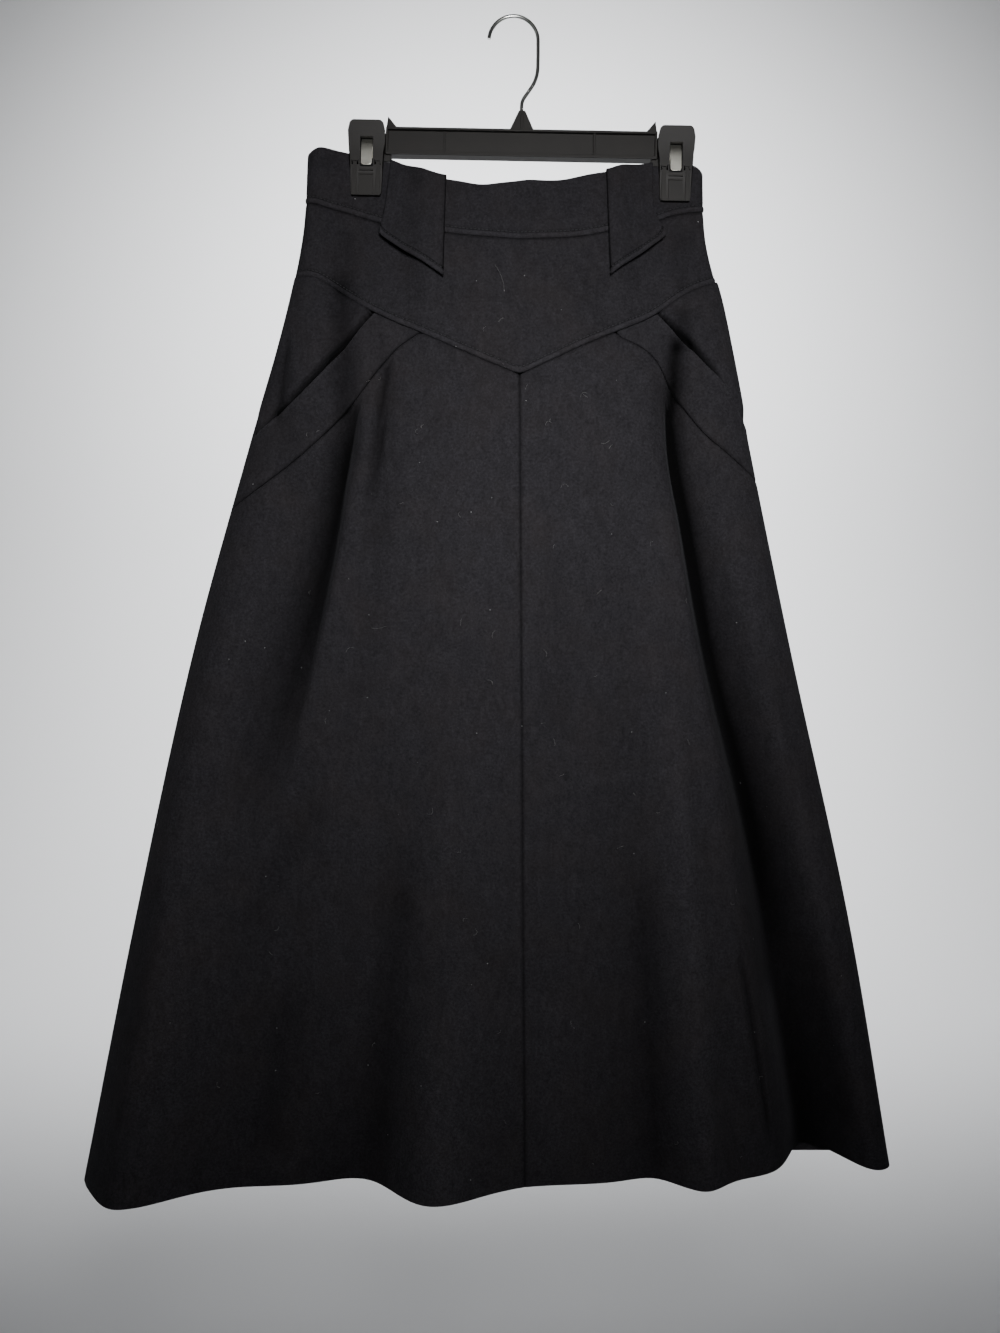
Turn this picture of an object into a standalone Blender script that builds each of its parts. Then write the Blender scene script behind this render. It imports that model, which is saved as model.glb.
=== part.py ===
"""A-line midi skirt in heavy wool, hanging by its waistband from a clip hanger.

Metres in the file, +Z up, front to -Y. The origin is under the crown of the hanger's hook, where the
hook sits on its rod or nail. Sizes are given in millimetres, and MM turns them to metres.
"""
from collections import namedtuple

import bmesh
import bpy
import numpy as np
from mathutils import Matrix, Vector

MM = 0.001

# Cloth
WALL = 2.0              # thickness of the wool
SEAM_PULL = 0.18        # each panel stops this far short of its seam line
LAY = 0.4               # clear space between two layers that lie on each other
HIP_LAY = 1.3           # clear space behind the pocket band, where a hand goes in
JAW_HALF = 2.9          # outer face of the waistband to the mid plane, inside the clips
HEM_Z = -1017.0
HEM_TILT = -0.006       # the left of the hem hangs slightly lower
HEM_LIFT = 8.0          # over the deep fold on the right
HEM_LIFT_X = 262.0
HEM_LIFT_WIDTH = 45.0
BACK_DROP = 4.0         # the back waistband sags this much more than the front
GAPE = {-1: 3.2, 1: 3.6}  # how far each pocket's mouth stands open
TUCK = 5.0              # the hip panel runs this far up under the yoke
HIP_OVER = 1.5          # and ends this far above the pocket band's seam
HIP_INSET = 0.03        # share of the half width by which it starts behind the band's corner
LAP, LAP_START, LAP_INSET = 24.0, 0.5, 1.0  # the right back waistband runs on under the left one
ZIP_HALF, ZIP_LENGTH, ZIP_THICK, ZIP_DROP = 12.0, 180.0, 1.2, 2.0
BUTTON_RADIUS, BUTTON_THICK, BUTTON_BEVEL = 9.0, 3.0, 0.86
BUTTON_INSET, BUTTON_DROP = 13.0, 24.0  # from the centre back and from the top edge
TAB_WALL, TAB_GAP = 1.9, 1.5
LEFT_SEAM_TURN = 0.10   # the left side seam lies this much of the ring in front of the fold

# Number of cells in each direction of the panels
CELLS_MIDDLE, CELLS_BAND, CELLS_HIP = 8, 16, 6
ROWS_WAIST, ROWS_YOKE, ROWS_HIP, ROWS_BAND, ROWS_FRONT = 2, 4, 3, 3, 19
CELLS_BACK = 10
CELLS_UNDER, ROWS_UNDER = 13, 6
CELLS_TAB, ROWS_TAB = 6, 8
CELLS_LAP, ROWS_ZIP = 2, 8
CROWD = 0.75            # below 1, columns crowd together towards the outer edge

# Hanger, in its own frame: the middle of the bar is at 0, 0 and the front is to -Y
TILT = 0.019            # radians, the right end hangs lower
BAR_CENTRE = (8.4, -113.0)
BAR_HALF, BAR_HEIGHT, BAR_WEB, BAR_FLANGE = 120.0, 24.0, 3.0, 10.0
TOP_FLANGE, FOOT_FLANGE, PROUD = 2.0, 3.0, 0.2
RIB_AT, RIB_HALF, RIB_DEPTH = (-68.0, 64.5), 1.0, 3.6
BOSS_HALF, BOSS_TIP, BOSS_HIGH, BOSS_DEPTH = 11.0, 2.8, 17.0, 4.0
RIDGE_HALF, RIDGE_HIGH, RIDGE_DEPTH = 1.2, 15.0, 5.0
END_WALL, END_DEPTH = 2.0, 4.6
GUSSET_LONG, GUSSET_TIP, GUSSET_HIGH, GUSSET_DEPTH = 11.0, 0.8, 8.0, 2.6
NECK_INSIDE, NECK_OUTSIDE, NECK_Y, NECK_Z = 1.0, 1.5, (1.0, 4.2), (-8.0, 9.0)

# Clips: the side profile of a jaw is given as distance from the mid plane and height
CLIP_AT = 136.5
CLIP_WIDTH, CLIP_TOP, CLIP_FOOT = 32.0, 16.5, -50.5
CLIP_GAP = 0.3
JAW_PROFILE = [
    (JAW_HALF + CLIP_GAP, CLIP_FOOT),
    (JAW_HALF + CLIP_GAP, -8.5),
    (0.35, -6.0),
    (0.35, -3.0),
    (4.0, 0.0),
    (8.5, CLIP_TOP),
    (11.0, CLIP_TOP),
    (7.4, -3.5),
    (6.6, -22.5),
    (6.6, -28.5),
    (5.8, -29.5),
    (5.6, CLIP_FOOT),
]
WINDOW_WIDTH, WINDOW_TOP, WINDOW_FOOT, WINDOW_REACH = 11.6, 2.5, -23.5, 30.0
LEDGE_HALF, LEDGE_AT, LEDGE_HIGH, LEDGE_Y = 9.0, (-28.5, -33.0), 1.2, (5.2, 7.0)
SPRING_WIDTH, SPRING_THICK = 9.6, 0.9
SPRING_PATH = [(-6.2, WINDOW_FOOT + 0.6), (-5.8, -10.5), (-5.0, -3.0), (-2.2, 1.1), (0, 1.8)]

# Hook: a wire whose crown is an arc, then the points of its drop to the boss, in the row's frame
WIRE = 3.2
CROWN_RADIUS, CROWN_CENTRE, CROWN_ARC, CROWN_POINTS = 21.8, (1.4, -20.2), (176, 0), 19
HOOK_DROP = [(23.2, -28), (23.1, -38), (22.6, -48), (19.8, -57.5), (14.4, -66), (10, -72.5), (8.6, -78)]
HOOK_FOOT_X, HOOK_GAP, HOOK_SIDES = 8.5, 0.5, 2

# The turn of the cloth is sampled this finely to find its outward direction
STEP_W, STEP_Z = 0.004, 1.0

# One row for each height of the skirt: the outer edge, the front and back layers and the turn
# between them, all in millimetres
Centre = namedtuple("Centre", "z x front back")
Edge = namedtuple("Edge", "z x y front back turn")

CENTRE_ROWS = [
    Centre(-118, 5.5, -14, 12),
    Centre(-190, 5.5, -21, 16),
    Centre(-260, 6.0, -28, 19),
    Centre(-390, 6.5, -35, 22),
    Centre(-560, 7.5, -40, 24),
    Centre(-800, 9.0, -42, 25),
    Centre(-1020, 10.6, -40, 26),
]
LEFT_ROWS = [
    Edge(-118, -181, 0, -9, 8, 22),
    Edge(-190, -185, 0, -11, 10, 26),
    Edge(-260, -199, 0, -13, 13, 30),
    Edge(-390, -235, -2, -18, 17, 36),
    Edge(-560, -280, -6, -25, 20, 42),
    Edge(-800, -330, -13, -32, 22, 46),
    Edge(-1020, -371, -20, -38, 24, 48),
]
RIGHT_ROWS = [
    Edge(-118, 169, 0, -5, 5, 3.6),
    Edge(-190, 171, 0, -6, 6, 7),
    Edge(-260, 187, 0, -11, 12, 24),
    Edge(-390, 212, -1, -17, 16, 34),
    Edge(-560, 246, -3, -22, 20, 38),
    Edge(-800, 297, -6, -22, 22, 38),
    Edge(-1020, 333, -8, -20, 23, 36),
]

# Lines across each half of the front: share of the way from the centre to the edge, and height
LEFT_LINES = {
    "top": [(0, -153), (.34, -149), (.61, -129), (.82, -120), (.93, -116), (1, -121)],
    "waist": [(0, -205), (.35, -198), (.67, -182), (.85, -172), (1, -166)],
    "yoke": [(0, -325), (.3, -297), (.62, -266), (.88, -236), (1, -232)],
    "opening": [(.612, -267), (.667, -284), (.784, -323), (.882, -350), (1, -375)],
    "band": [(.404, -287), (.507, -305), (.621, -344), (.727, -378), (.878, -415), (1, -439)],
}
RIGHT_LINES = {
    "top": [(0, -153), (.467, -143), (.578, -137), (.745, -132), (.94, -131), (1, -137)],
    "waist": [(0, -205), (.35, -201), (.67, -186), (.85, -176), (1, -173)],
    "yoke": [(0, -325), (.3, -298), (.62, -272), (.83, -248), (1, -236)],
    "opening": [(.661, -268), (.766, -294), (.847, -313), (.926, -330), (1, -365)],
    "band": [(.447, -289), (.625, -312), (.713, -349), (.788, -373), (.87, -389), (1, -413)],
}

# One row for each fold. x, z and rise at the top, the middle and the bottom of its line; rise is
# outwards. left and right are the widths of its two slopes at the top and at the bottom.
Fold = namedtuple("Fold", "name x z rise left right")

FRONT_FOLDS = [
    Fold("left corner ridge", (-232, -282, -324), (-430, -700, -1020), (2, 16, 40), (26, 42), (30, 54)),
    Fold("valley over the pleat", (-150, -146, -140), (-190, -280, -390), (-2, -4, -4), (18, 18), (18, 14)),
    Fold("left pleat", (-140, -172, -231), (-385, -510, -690), (-9, -10, -5), (24, 30), (7, 16)),
    Fold("short pleat", (-111, -116, -145), (-326, -430, -640), (-4, -5, -2), (8, 12), (12, 16)),
    Fold("valley left of middle", (-85, -76, -128), (-640, -780, -1020), (-2, -8, -17), (26, 40), (24, 34)),
    Fold("ridge left of the middle", (-52, -60, -68), (-640, -850, -1020), (3, 16, 38), (34, 42), (40, 54)),
    Fold("valley right of the middle", (97, 101, 118), (-420, -700, -1020), (-3, -6, -9), (30, 28), (26, 20)),
    Fold("ridge right of the middle", (114, 140, 163), (-470, -740, -1020), (3, 8, 19), (24, 24), (18, 22)),
    Fold("start of the deep fold", (142, 138, 136), (-300, -350, -410), (-2, -5, -4), (18, 15), (18, 17)),
    Fold("deep fold", (134, 206, 266), (-345, -680, -1020), (-5, -27, -48), (13, 24), (18, 38)),
    Fold("outer ridge", (190, 262, 314), (-480, -780, -1020), (3, 6, 10), (20, 22), (22, 26)),
]
BACK_FOLDS = [
    Fold("left back hollow", (-150, -205, -262), (-420, -700, -1020), (-4, -9, -15), (34, 46), (30, 42)),
    Fold("inner left hollow", (-70, -88, -105), (-520, -760, -1020), (-3, -7, -12), (26, 34), (30, 40)),
    Fold("inner right hollow", (70, 84, 96), (-480, -740, -1020), (-3, -8, -14), (28, 38), (26, 34)),
    Fold("right back hollow", (150, 160, 182), (-430, -700, -1020), (-4, -8, -12), (26, 30), (24, 26)),
]
FOLD_LEAD = 45.0        # a fold dies away over this length past its ends

# The clips press the two layers flat over PINCH_FLAT to each side and down to PINCH_FOOT
CLIP_X = (BAR_CENTRE[0] - CLIP_AT, BAR_CENTRE[0] + CLIP_AT)
PINCH_FLAT, PINCH_FALL = 29.0, 24.0
PINCH_FOOT, PINCH_FADE = -166.0, -310.0

# One row for each tab: x of its outer edge at three heights, then of its inner edge at two
Tab = namedtuple("Tab", "outer_x outer_z inner_x inner_z")
TABS = {
    -1: Tab((-107.5, -111.5, -117.5), (-128, -165, -196), (-57, -59), (-147, -240)),
    1: Tab((124.5, 125.5, 137.0), (-131, -170, -196), (82, 84.5), (-142, -238)),
}
TAB_CAP_START = 0.03    # share of the tab's height where the cap over the top edge starts
TAB_CAP_ROUND, TAB_CAP_OVER = 0.8, 0.7  # shares of its wall that round the bend off


def through(xs, ys):
    """Smooth curve through the points that never swings past them."""
    xs, ys = np.array(xs, float), np.array(ys, float)
    if xs[0] > xs[-1]:
        xs, ys = xs[::-1], ys[::-1]
    step = np.diff(xs)
    slope = np.diff(ys) / step
    m = np.concatenate([[slope[0]], (slope[:-1] + slope[1:]) / 2, [slope[-1]]])
    turning = slope[:-1] * slope[1:] <= 0
    m[1:-1][turning] = 0
    limit = 3 * np.minimum(np.abs(slope[:-1]), np.abs(slope[1:]))
    m[1:-1] = np.clip(m[1:-1], -limit, limit)

    def curve(x):
        x = np.clip(x, xs[0], xs[-1])
        i = np.clip(np.searchsorted(xs, x) - 1, 0, len(step) - 1)
        h = step[i]
        t = (x - xs[i]) / h
        return (
            (1 + 2 * t) * (1 - t) ** 2 * ys[i]
            + t * (1 - t) ** 2 * h * m[i]
            + t * t * (3 - 2 * t) * ys[i + 1]
            + t * t * (t - 1) * h * m[i + 1]
        )

    return curve


def smoothstep(t):
    t = np.clip(t, 0, 1)
    return t * t * (3 - 2 * t)


def curves(rows):
    """A curve down the height for each named column of a table of sections."""
    columns = list(zip(*rows))
    return {f: through(columns[0], column) for f, column in zip(rows[0]._fields, columns)}


CENTRE = curves(CENTRE_ROWS)
SIDES = {-1: curves(LEFT_ROWS), 1: curves(RIGHT_ROWS)}
LINES = {
    side: {name: through(*zip(*points)) for name, points in table.items()}
    for side, table in ((-1, LEFT_LINES), (1, RIGHT_LINES))
}
LINE_START = {
    side: {name: points[0][0] for name, points in table.items()}
    for side, table in ((-1, LEFT_LINES), (1, RIGHT_LINES))
}


def fold_rise(folds, x, z):
    """How far the folds lift the cloth outwards at a place."""
    total = np.zeros(np.broadcast(x, z).shape)
    for fold in folds:
        top, foot = fold.z[0], fold.z[-1]
        path = through(fold.z, fold.x)(z)
        along = np.clip((top - z) / (top - foot), 0, 1)
        width = np.where(
            x < path,
            fold.left[0] + (fold.left[1] - fold.left[0]) * along,
            fold.right[0] + (fold.right[1] - fold.right[0]) * along,
        )
        bell = np.exp(-(((x - path) / width) ** 2))
        ends = smoothstep((top + FOLD_LEAD - z) / FOLD_LEAD) * smoothstep((z - foot + FOLD_LEAD) / FOLD_LEAD)
        total += through(fold.z, fold.rise)(z) * bell * ends
    return total


def pinch(x, z):
    """1 where a clip presses the two layers together, falling to 0 around it."""
    near = np.min([np.abs(x - c) for c in CLIP_X], axis=0)
    return smoothstep(1 - (near - PINCH_FLAT) / PINCH_FALL) * smoothstep(
        (z - PINCH_FADE) / (PINCH_FOOT - PINCH_FADE)
    )


def share(w):
    """Share of the way from the centre to the edge, for w from 0 to 1 on the front, 1 to 2 behind."""
    a = 1 - np.abs(1 - w)
    return a * (2 - a)


def w_at(g):
    """The w on the front that lies a share g of the way to the edge."""
    return 1 - np.sqrt(1 - np.clip(g, 0, 1))


def cloth(side, w, z):
    """Point of the cloth's outer face. side is -1 or 1, w runs round the half ring, z is the height."""
    side, w, z = np.broadcast_arrays(side, w, z)
    edge = {f: np.where(side < 0, SIDES[-1][f](z), SIDES[1][f](z)) for f in Edge._fields[1:]}
    g = share(w)
    middle = CENTRE["x"](z)
    x = middle + (edge["x"] - middle) * g
    inside = np.abs(edge["x"] - middle) * (1 - g)
    front = CENTRE["front"](z) + (edge["front"] - CENTRE["front"](z)) * g * g
    back = CENTRE["back"](z) + (edge["back"] - CENTRE["back"](z)) * g * g
    layer = np.where(w <= 1, front - fold_rise(FRONT_FOLDS, x, z), back + fold_rise(BACK_FOLDS, x, z))
    held = np.where(w <= 1, -JAW_HALF, JAW_HALF)
    layer = layer + (held - layer) * pinch(x, z)
    turn = np.clip(inside / edge["turn"], 0, 1)
    y = edge["y"] + (layer - edge["y"]) * np.sqrt(1 - (1 - turn) ** 2)
    return np.stack([x, y, z * np.ones_like(x)], axis=-1)


def outward(side, w, z):
    """Unit vector out of the cloth."""
    along = cloth(side, w + STEP_W, z) - cloth(side, w - STEP_W, z)
    up = cloth(side, w, z + STEP_Z) - cloth(side, w, z - STEP_Z)
    n = np.cross(along, up) * np.asarray(side)[..., None]
    return n / np.linalg.norm(n, axis=-1, keepdims=True)


def hem_at(side, w):
    """Height of the hem at w."""
    x = cloth(side, w, HEM_Z)[..., 0]
    raised = np.where(np.asarray(w) <= 1, HEM_LIFT, 0) * np.exp(-(((x - HEM_LIFT_X) / HEM_LIFT_WIDTH) ** 2))
    return HEM_Z - HEM_TILT * x + raised


def line_at(name, side, w):
    """Height of a line of the front at w, on either side."""
    g = share(np.asarray(w, float))
    return np.where(np.asarray(side) < 0, LINES[-1][name](g), LINES[1][name](g))


def spaced(w0, w1, cells):
    """Columns from w0 to w1 that crowd together towards the edge, where the cloth turns."""
    t0, t1 = (1 - (1 - w) ** (1 / CROWD) for w in (w0, w1))
    return 1 - (1 - np.linspace(t0, t1, cells + 1)) ** CROWD


def seam_w(side):
    """The w of the side seam."""
    return 1 - LEFT_SEAM_TURN if side < 0 else 1.0


def material(name, colour, rough, metal=0.0):
    mat = bpy.data.materials.new(name)
    mat.use_nodes = True
    shader = mat.node_tree.nodes["Principled BSDF"]
    shader.inputs["Base Color"].default_value = (*colour, 1)
    shader.inputs["Roughness"].default_value = rough
    shader.inputs["Metallic"].default_value = metal
    return mat


def add_object(name, bm, mat, smooth=True):
    mesh = bpy.data.meshes.new(name)
    bm.to_mesh(mesh)
    bm.free()
    if smooth:
        mesh.shade_smooth()
    mesh.materials.append(mat)
    obj = bpy.data.objects.new(name, mesh)
    bpy.context.collection.objects.link(obj)
    return obj


def solid_from(name, outer, inner, mat):
    """Closed wall between two grids of points in millimetres."""
    rows, columns = outer.shape[:2]
    bm = bmesh.new()
    skins = [[[bm.verts.new(p * MM) for p in row] for row in skin] for skin in (outer, inner)]
    for skin, flip in zip(skins, (False, True)):
        for r in range(rows - 1):
            for c in range(columns - 1):
                a, b = skin[r][c], skin[r][c + 1]
                d, e = skin[r + 1][c], skin[r + 1][c + 1]
                for face in ((a, d, e), (a, e, b)):
                    bm.faces.new(reversed(face) if flip else face)
    rim = (
        [(0, c) for c in range(columns)]
        + [(r, columns - 1) for r in range(1, rows)]
        + [(rows - 1, c) for c in range(columns - 2, -1, -1)]
        + [(r, 0) for r in range(rows - 2, 0, -1)]
    )
    for (r0, c0), (r1, c1) in zip(rim, rim[1:] + rim[:1]):
        bm.faces.new((skins[0][r0][c0], skins[0][r1][c1], skins[1][r1][c1]))
        bm.faces.new((skins[0][r0][c0], skins[1][r1][c1], skins[1][r0][c0]))
    bmesh.ops.recalc_face_normals(bm, faces=bm.faces)
    return add_object(name, bm, mat)


def pulled_in(skins):
    """Move the border of each grid inwards, square to it, so that it stops just short of the seam."""
    grid = skins[0].copy()
    for skin in skins:
        for border, beside in (
            (np.s_[0, :], np.s_[1, :]),
            (np.s_[-1, :], np.s_[-2, :]),
            (np.s_[:, 0], np.s_[:, 1]),
            (np.s_[:, -1], np.s_[:, -2]),
        ):
            step = grid[beside] - grid[border]
            along = np.gradient(grid[border], axis=0)
            along /= np.linalg.norm(along, axis=-1, keepdims=True)
            step -= along * np.sum(step * along, axis=-1, keepdims=True)
            skin[border] += step * SEAM_PULL / np.linalg.norm(step, axis=-1, keepdims=True)
    return skins


def panel(name, side, w, z, mat, lift=0.0, wall=WALL):
    """A piece of cloth. side and w have a value for each column (w also for each row), z for each point."""
    side, w, z = np.broadcast_arrays(side, w, z)
    base, n = cloth(side, w, z), outward(side, w, z)
    lift = np.broadcast_to(lift, z.shape)[..., None]
    outer = base + n * lift
    inner = outer - n * wall
    return solid_from(name, *pulled_in([outer, inner]), mat)


def both(left, right):
    """Columns from the left side over the centre to the right side, as sides and w."""
    side = np.concatenate([-np.ones(len(left) - 1), np.ones(len(right))])
    return side, np.concatenate([left[::-1][:-1], right])


def between(z0, z1, rows):
    """Heights from one line to another in even rows."""
    t = np.linspace(0, 1, rows + 1)[:, None]
    return z0 + (z1 - z0) * t


def corner(name, side):
    """Where a pocket line meets the yoke seam."""
    return w_at(LINE_START[side][name])


def upper_columns(side):
    """Columns shared by the waistband, the yoke and what is sewn under it."""
    a, b, end = corner("band", side), corner("opening", side), seam_w(side)
    parts = spaced(0, a, CELLS_MIDDLE), spaced(a, b, ROWS_BAND), spaced(b, end, CELLS_HIP)
    return np.concatenate([parts[0], parts[1][1:], parts[2][1:]])


def front_columns(side):
    a, end = corner("band", side), seam_w(side)
    return np.concatenate([spaced(0, a, CELLS_MIDDLE), spaced(a, end, CELLS_BAND)[1:]])


def make_upper_front(wool):
    side, w = both(upper_columns(-1), upper_columns(1))
    top, waist, yoke = (line_at(name, side, w) for name in ("top", "waist", "yoke"))
    panel("waistband_front", side, w, between(top, waist, ROWS_WAIST), wool)
    panel("yoke_front", side, w, between(waist, yoke, ROWS_YOKE), wool)


def make_front(name, side, wool):
    w = front_columns(side)
    a = corner("band", side)
    top = np.where(w <= a, line_at("yoke", side, w), line_at("band", side, w))
    rows = np.linspace(0, 1, ROWS_FRONT + 1)[:, None]
    panel(name, side, w, top + (hem_at(side, w) - top) * rows, wool)


def make_pocket_band(name, side, wool):
    """The band along a slanted pocket, sewn to the front panel and standing open at its upper edge."""
    a, b, end = corner("band", side), corner("opening", side), seam_w(side)
    low, high = spaced(a, end, CELLS_BAND), spaced(b, end, CELLS_BAND)
    seam = spaced(a, b, ROWS_BAND)
    t = np.linspace(0, 1, ROWS_BAND + 1)[:, None]
    w = low + (high - low) * t
    w[:, 0] = seam
    z_low, z_high = line_at("band", side, low), line_at("opening", side, high)
    z = z_low + (z_high - z_low) * t
    z[:, 0] = line_at("yoke", side, seam)
    along = np.linspace(0, 1, CELLS_BAND + 1)
    lift = GAPE[side] * t**1.5 * np.sin(np.pi * along**0.6)
    panel(name, side, w[::-1], z[::-1], wool, lift=lift[::-1])


def make_hip(name, side, wool):
    start = w_at(LINE_START[side]["band"] + HIP_INSET)
    w = spaced(start, seam_w(side), CELLS_UNDER)
    top, foot = line_at("yoke", side, w) + TUCK, line_at("band", side, w) + HIP_OVER
    panel(name, side, w, between(top, foot, ROWS_UNDER), wool, lift=-WALL - HIP_LAY)


def side_levels(side):
    """Heights down the side seam that the front and back pieces share."""
    end = seam_w(side)
    marks = [float(line_at(name, side, end)) for name in ("waist", "yoke", "opening", "band")]
    marks.append(float(hem_at(side, end)))
    rows = (ROWS_YOKE, ROWS_HIP, ROWS_BAND, ROWS_FRONT)
    levels = [np.linspace(z0, z1, n + 1)[1:] for z0, z1, n in zip(marks, marks[1:], rows)]
    return np.concatenate([[marks[0]], *levels])


def back_columns(side):
    return 2 - spaced(0, 1, CELLS_BACK)[::-1]


def back_line(name, side, w):
    """The waistband's lines go on round the back, where it sags a little more."""
    return line_at(name, side, w) - BACK_DROP * (1 - share(w)) * (w > 1)


def make_back(name, side, wool):
    w = back_columns(side)
    if seam_w(side) < 1:
        w = np.concatenate([[seam_w(side)], w])
    levels = side_levels(side)
    down = (levels - levels[0]) / (levels[-1] - levels[0])
    top, foot = back_line("waist", side, w), hem_at(side, w)
    panel(name, side, w, top + (foot - top) * down[:, None], wool)
    return w


def make_back_waistband(name, side, w, wool):
    z = between(back_line("top", side, w), back_line("waist", side, w), ROWS_WAIST)
    panel(name, side, w, z, wool)


def back_w(side, x, z):
    """The w on the back of the cloth at a place given by x."""
    middle = CENTRE["x"](z)
    edge = SIDES[side]["x"](z)
    return 2 - w_at((x - middle) / (edge - middle))


def make_lap(wool):
    """The part of the right back waistband that lies under the left one, as its own strip."""
    z_middle = float(back_line("top", -1, np.array(2.0)) + back_line("waist", -1, np.array(2.0))) / 2
    xs = float(CENTRE["x"](z_middle)) - np.linspace(LAP_START, LAP, CELLS_LAP + 1)
    w = back_w(-1, xs, z_middle)
    top, foot = back_line("top", -1, w) - LAP_INSET, back_line("waist", -1, w) + LAP_INSET
    z = between(top, foot, ROWS_WAIST)
    panel("waistband_lap", -1, w, z, wool, lift=-WALL - LAY)


def make_zip(tape):
    """The zip's tape, behind the centre back seam."""
    z_top = float(back_line("waist", 1, np.array(2.0))) - ZIP_DROP
    z = between(z_top, z_top - ZIP_LENGTH, ROWS_ZIP)
    middle = float(CENTRE["x"](z_top))
    left = back_w(-1, middle - np.array([ZIP_HALF, ZIP_HALF / 2]), z_top)
    right = back_w(1, middle + np.array([0, ZIP_HALF / 2, ZIP_HALF]), z_top)
    side = np.array([-1, -1, 1, 1, 1.0])
    w = np.concatenate([left, right])
    z = np.broadcast_to(z, (len(z), len(w)))
    panel("zip_tape", side, w, z, tape, lift=-WALL - LAY, wall=ZIP_THICK)


def make_button(horn):
    """The button on the lapped end of the back waistband."""
    z = float(back_line("top", -1, np.array(2.0))) - BUTTON_DROP
    x = float(CENTRE["x"](z)) - BUTTON_INSET
    w = back_w(-1, x, z)
    centre, n = cloth(-1, w, z), outward(-1, w, z)
    bm = bmesh.new()
    bmesh.ops.create_cone(
        bm, cap_ends=True, segments=16, radius1=BUTTON_RADIUS * MM,
        radius2=BUTTON_RADIUS * BUTTON_BEVEL * MM, depth=BUTTON_THICK * MM,
    )
    turn = Vector((0, 0, 1)).rotation_difference(Vector(n)).to_matrix().to_4x4()
    place = Vector(centre + n * (LAY + BUTTON_THICK / 2)) * MM
    bmesh.ops.transform(bm, matrix=Matrix.Translation(place) @ turn, verts=bm.verts)
    add_object("back_button", bm, horn)


def make_tab(name, side, wool):
    """A pointed tab: a layer that hangs in front of the waistband and a cap over its top edge."""
    tab = TABS[side]
    outer_x = through(tab.outer_z, tab.outer_x)
    inner_x = through(tab.inner_z, tab.inner_x)
    s = np.linspace(0, 1, CELLS_TAB + 1)

    def w_of(x, z):
        middle, edge = CENTRE["x"](z), SIDES[side]["x"](z)
        return w_at((x - middle) / (edge - middle))

    def place(t):
        """Columns across the tab, a share t of the way from its top edge to its slanted foot."""
        x_top = tab.outer_x[0] + (tab.inner_x[0] - tab.outer_x[0]) * s
        z_near = tab.outer_z[0] + (tab.inner_z[0] - tab.outer_z[0]) * s
        z_top = line_at("top", side, w_of(x_top, z_near))
        z_foot = tab.outer_z[-1] + (tab.inner_z[-1] - tab.outer_z[-1]) * s
        z = z_top + (z_foot - z_top) * t
        x = outer_x(z) + (inner_x(z) - outer_x(z)) * s
        w = w_of(x, z)
        return cloth(side, w, z), outward(side, w, z)

    near, far = [], []
    for t in np.linspace(1, TAB_CAP_START, ROWS_TAB + 1):
        p, n = place(t)
        near.append(p + n * TAB_GAP)
        far.append(p + n * (TAB_GAP + TAB_WALL))
    p, n = place(0)
    up = np.array([0, 0, 1.0])
    near += [p + n * TAB_GAP + up * LAY, p - n * WALL + up * LAY]
    bend = p + n * (TAB_GAP + TAB_WALL * TAB_CAP_ROUND) + up * (LAY + TAB_WALL * TAB_CAP_OVER)
    far += [bend, p - n * WALL + up * (LAY + TAB_WALL)]
    return solid_from(name, np.array(far), np.array(near), wool)


def hanger_place():
    """Turns and moves the hanger's own frame, centred on the bar, to where it hangs."""
    centre = Vector((BAR_CENTRE[0], 0, BAR_CENTRE[1])) * MM
    return Matrix.Translation(centre) @ Matrix.Rotation(TILT, 4, "Y")


def prism(name, profile, depth0, depth1, axis, mat):
    """Extrudes a profile of (u, v) points between two depths. axis X: profile in YZ; Y: profile in XZ."""
    bm = bmesh.new()

    def point(u, v, d):
        return Vector((d, u, v) if axis == "X" else (u, d, v)) * MM

    face = bm.faces.new([bm.verts.new(point(u, v, depth0)) for u, v in profile])
    moved = bmesh.ops.extrude_face_region(bm, geom=[face])
    shift = point(0, 0, depth1 - depth0)
    bmesh.ops.translate(bm, vec=shift, verts=[e for e in moved["geom"] if isinstance(e, bmesh.types.BMVert)])
    bmesh.ops.recalc_face_normals(bm, faces=bm.faces)
    return add_object(name, bm, mat, smooth=False)


def box(name, x0, x1, y0, y1, z0, z1, mat):
    return prism(name, [(x0, z0), (x1, z0), (x1, z1), (x0, z1)], y0, y1, "Y", mat)


def combine(target, others, operation):
    """Joins or cuts with Boolean modifiers, then drops the helper objects."""
    for other in others:
        change = target.modifiers.new(operation.lower(), "BOOLEAN")
        change.operation = operation
        change.solver = "EXACT"
        change.object = other
    graph = bpy.context.evaluated_depsgraph_get()
    mesh = bpy.data.meshes.new_from_object(target.evaluated_get(graph))
    target.modifiers.clear()
    target.data = mesh
    for other in others:
        bpy.data.objects.remove(other)


def make_jaw(name, sign, x, mat):
    """One jaw of a clip with its lever above: sign is -1 in front and 1 behind."""
    half = CLIP_WIDTH / 2
    jaw = prism(name, [(sign * y, z) for y, z in JAW_PROFILE], x - half, x + half, "X", mat)
    window_x = x - WINDOW_WIDTH / 2, x + WINDOW_WIDTH / 2
    window = box(name + "_window", *window_x, -WINDOW_REACH, WINDOW_REACH, WINDOW_FOOT, WINDOW_TOP, mat)
    ledge_y = sorted(sign * y for y in LEDGE_Y)
    ledges = [
        box(name + "_ledge", x - LEDGE_HALF, x + LEDGE_HALF, *ledge_y, z, z + LEDGE_HIGH, mat)
        for z in LEDGE_AT
    ]
    combine(jaw, ledges, "UNION")
    combine(jaw, [window], "DIFFERENCE")
    return jaw


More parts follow.
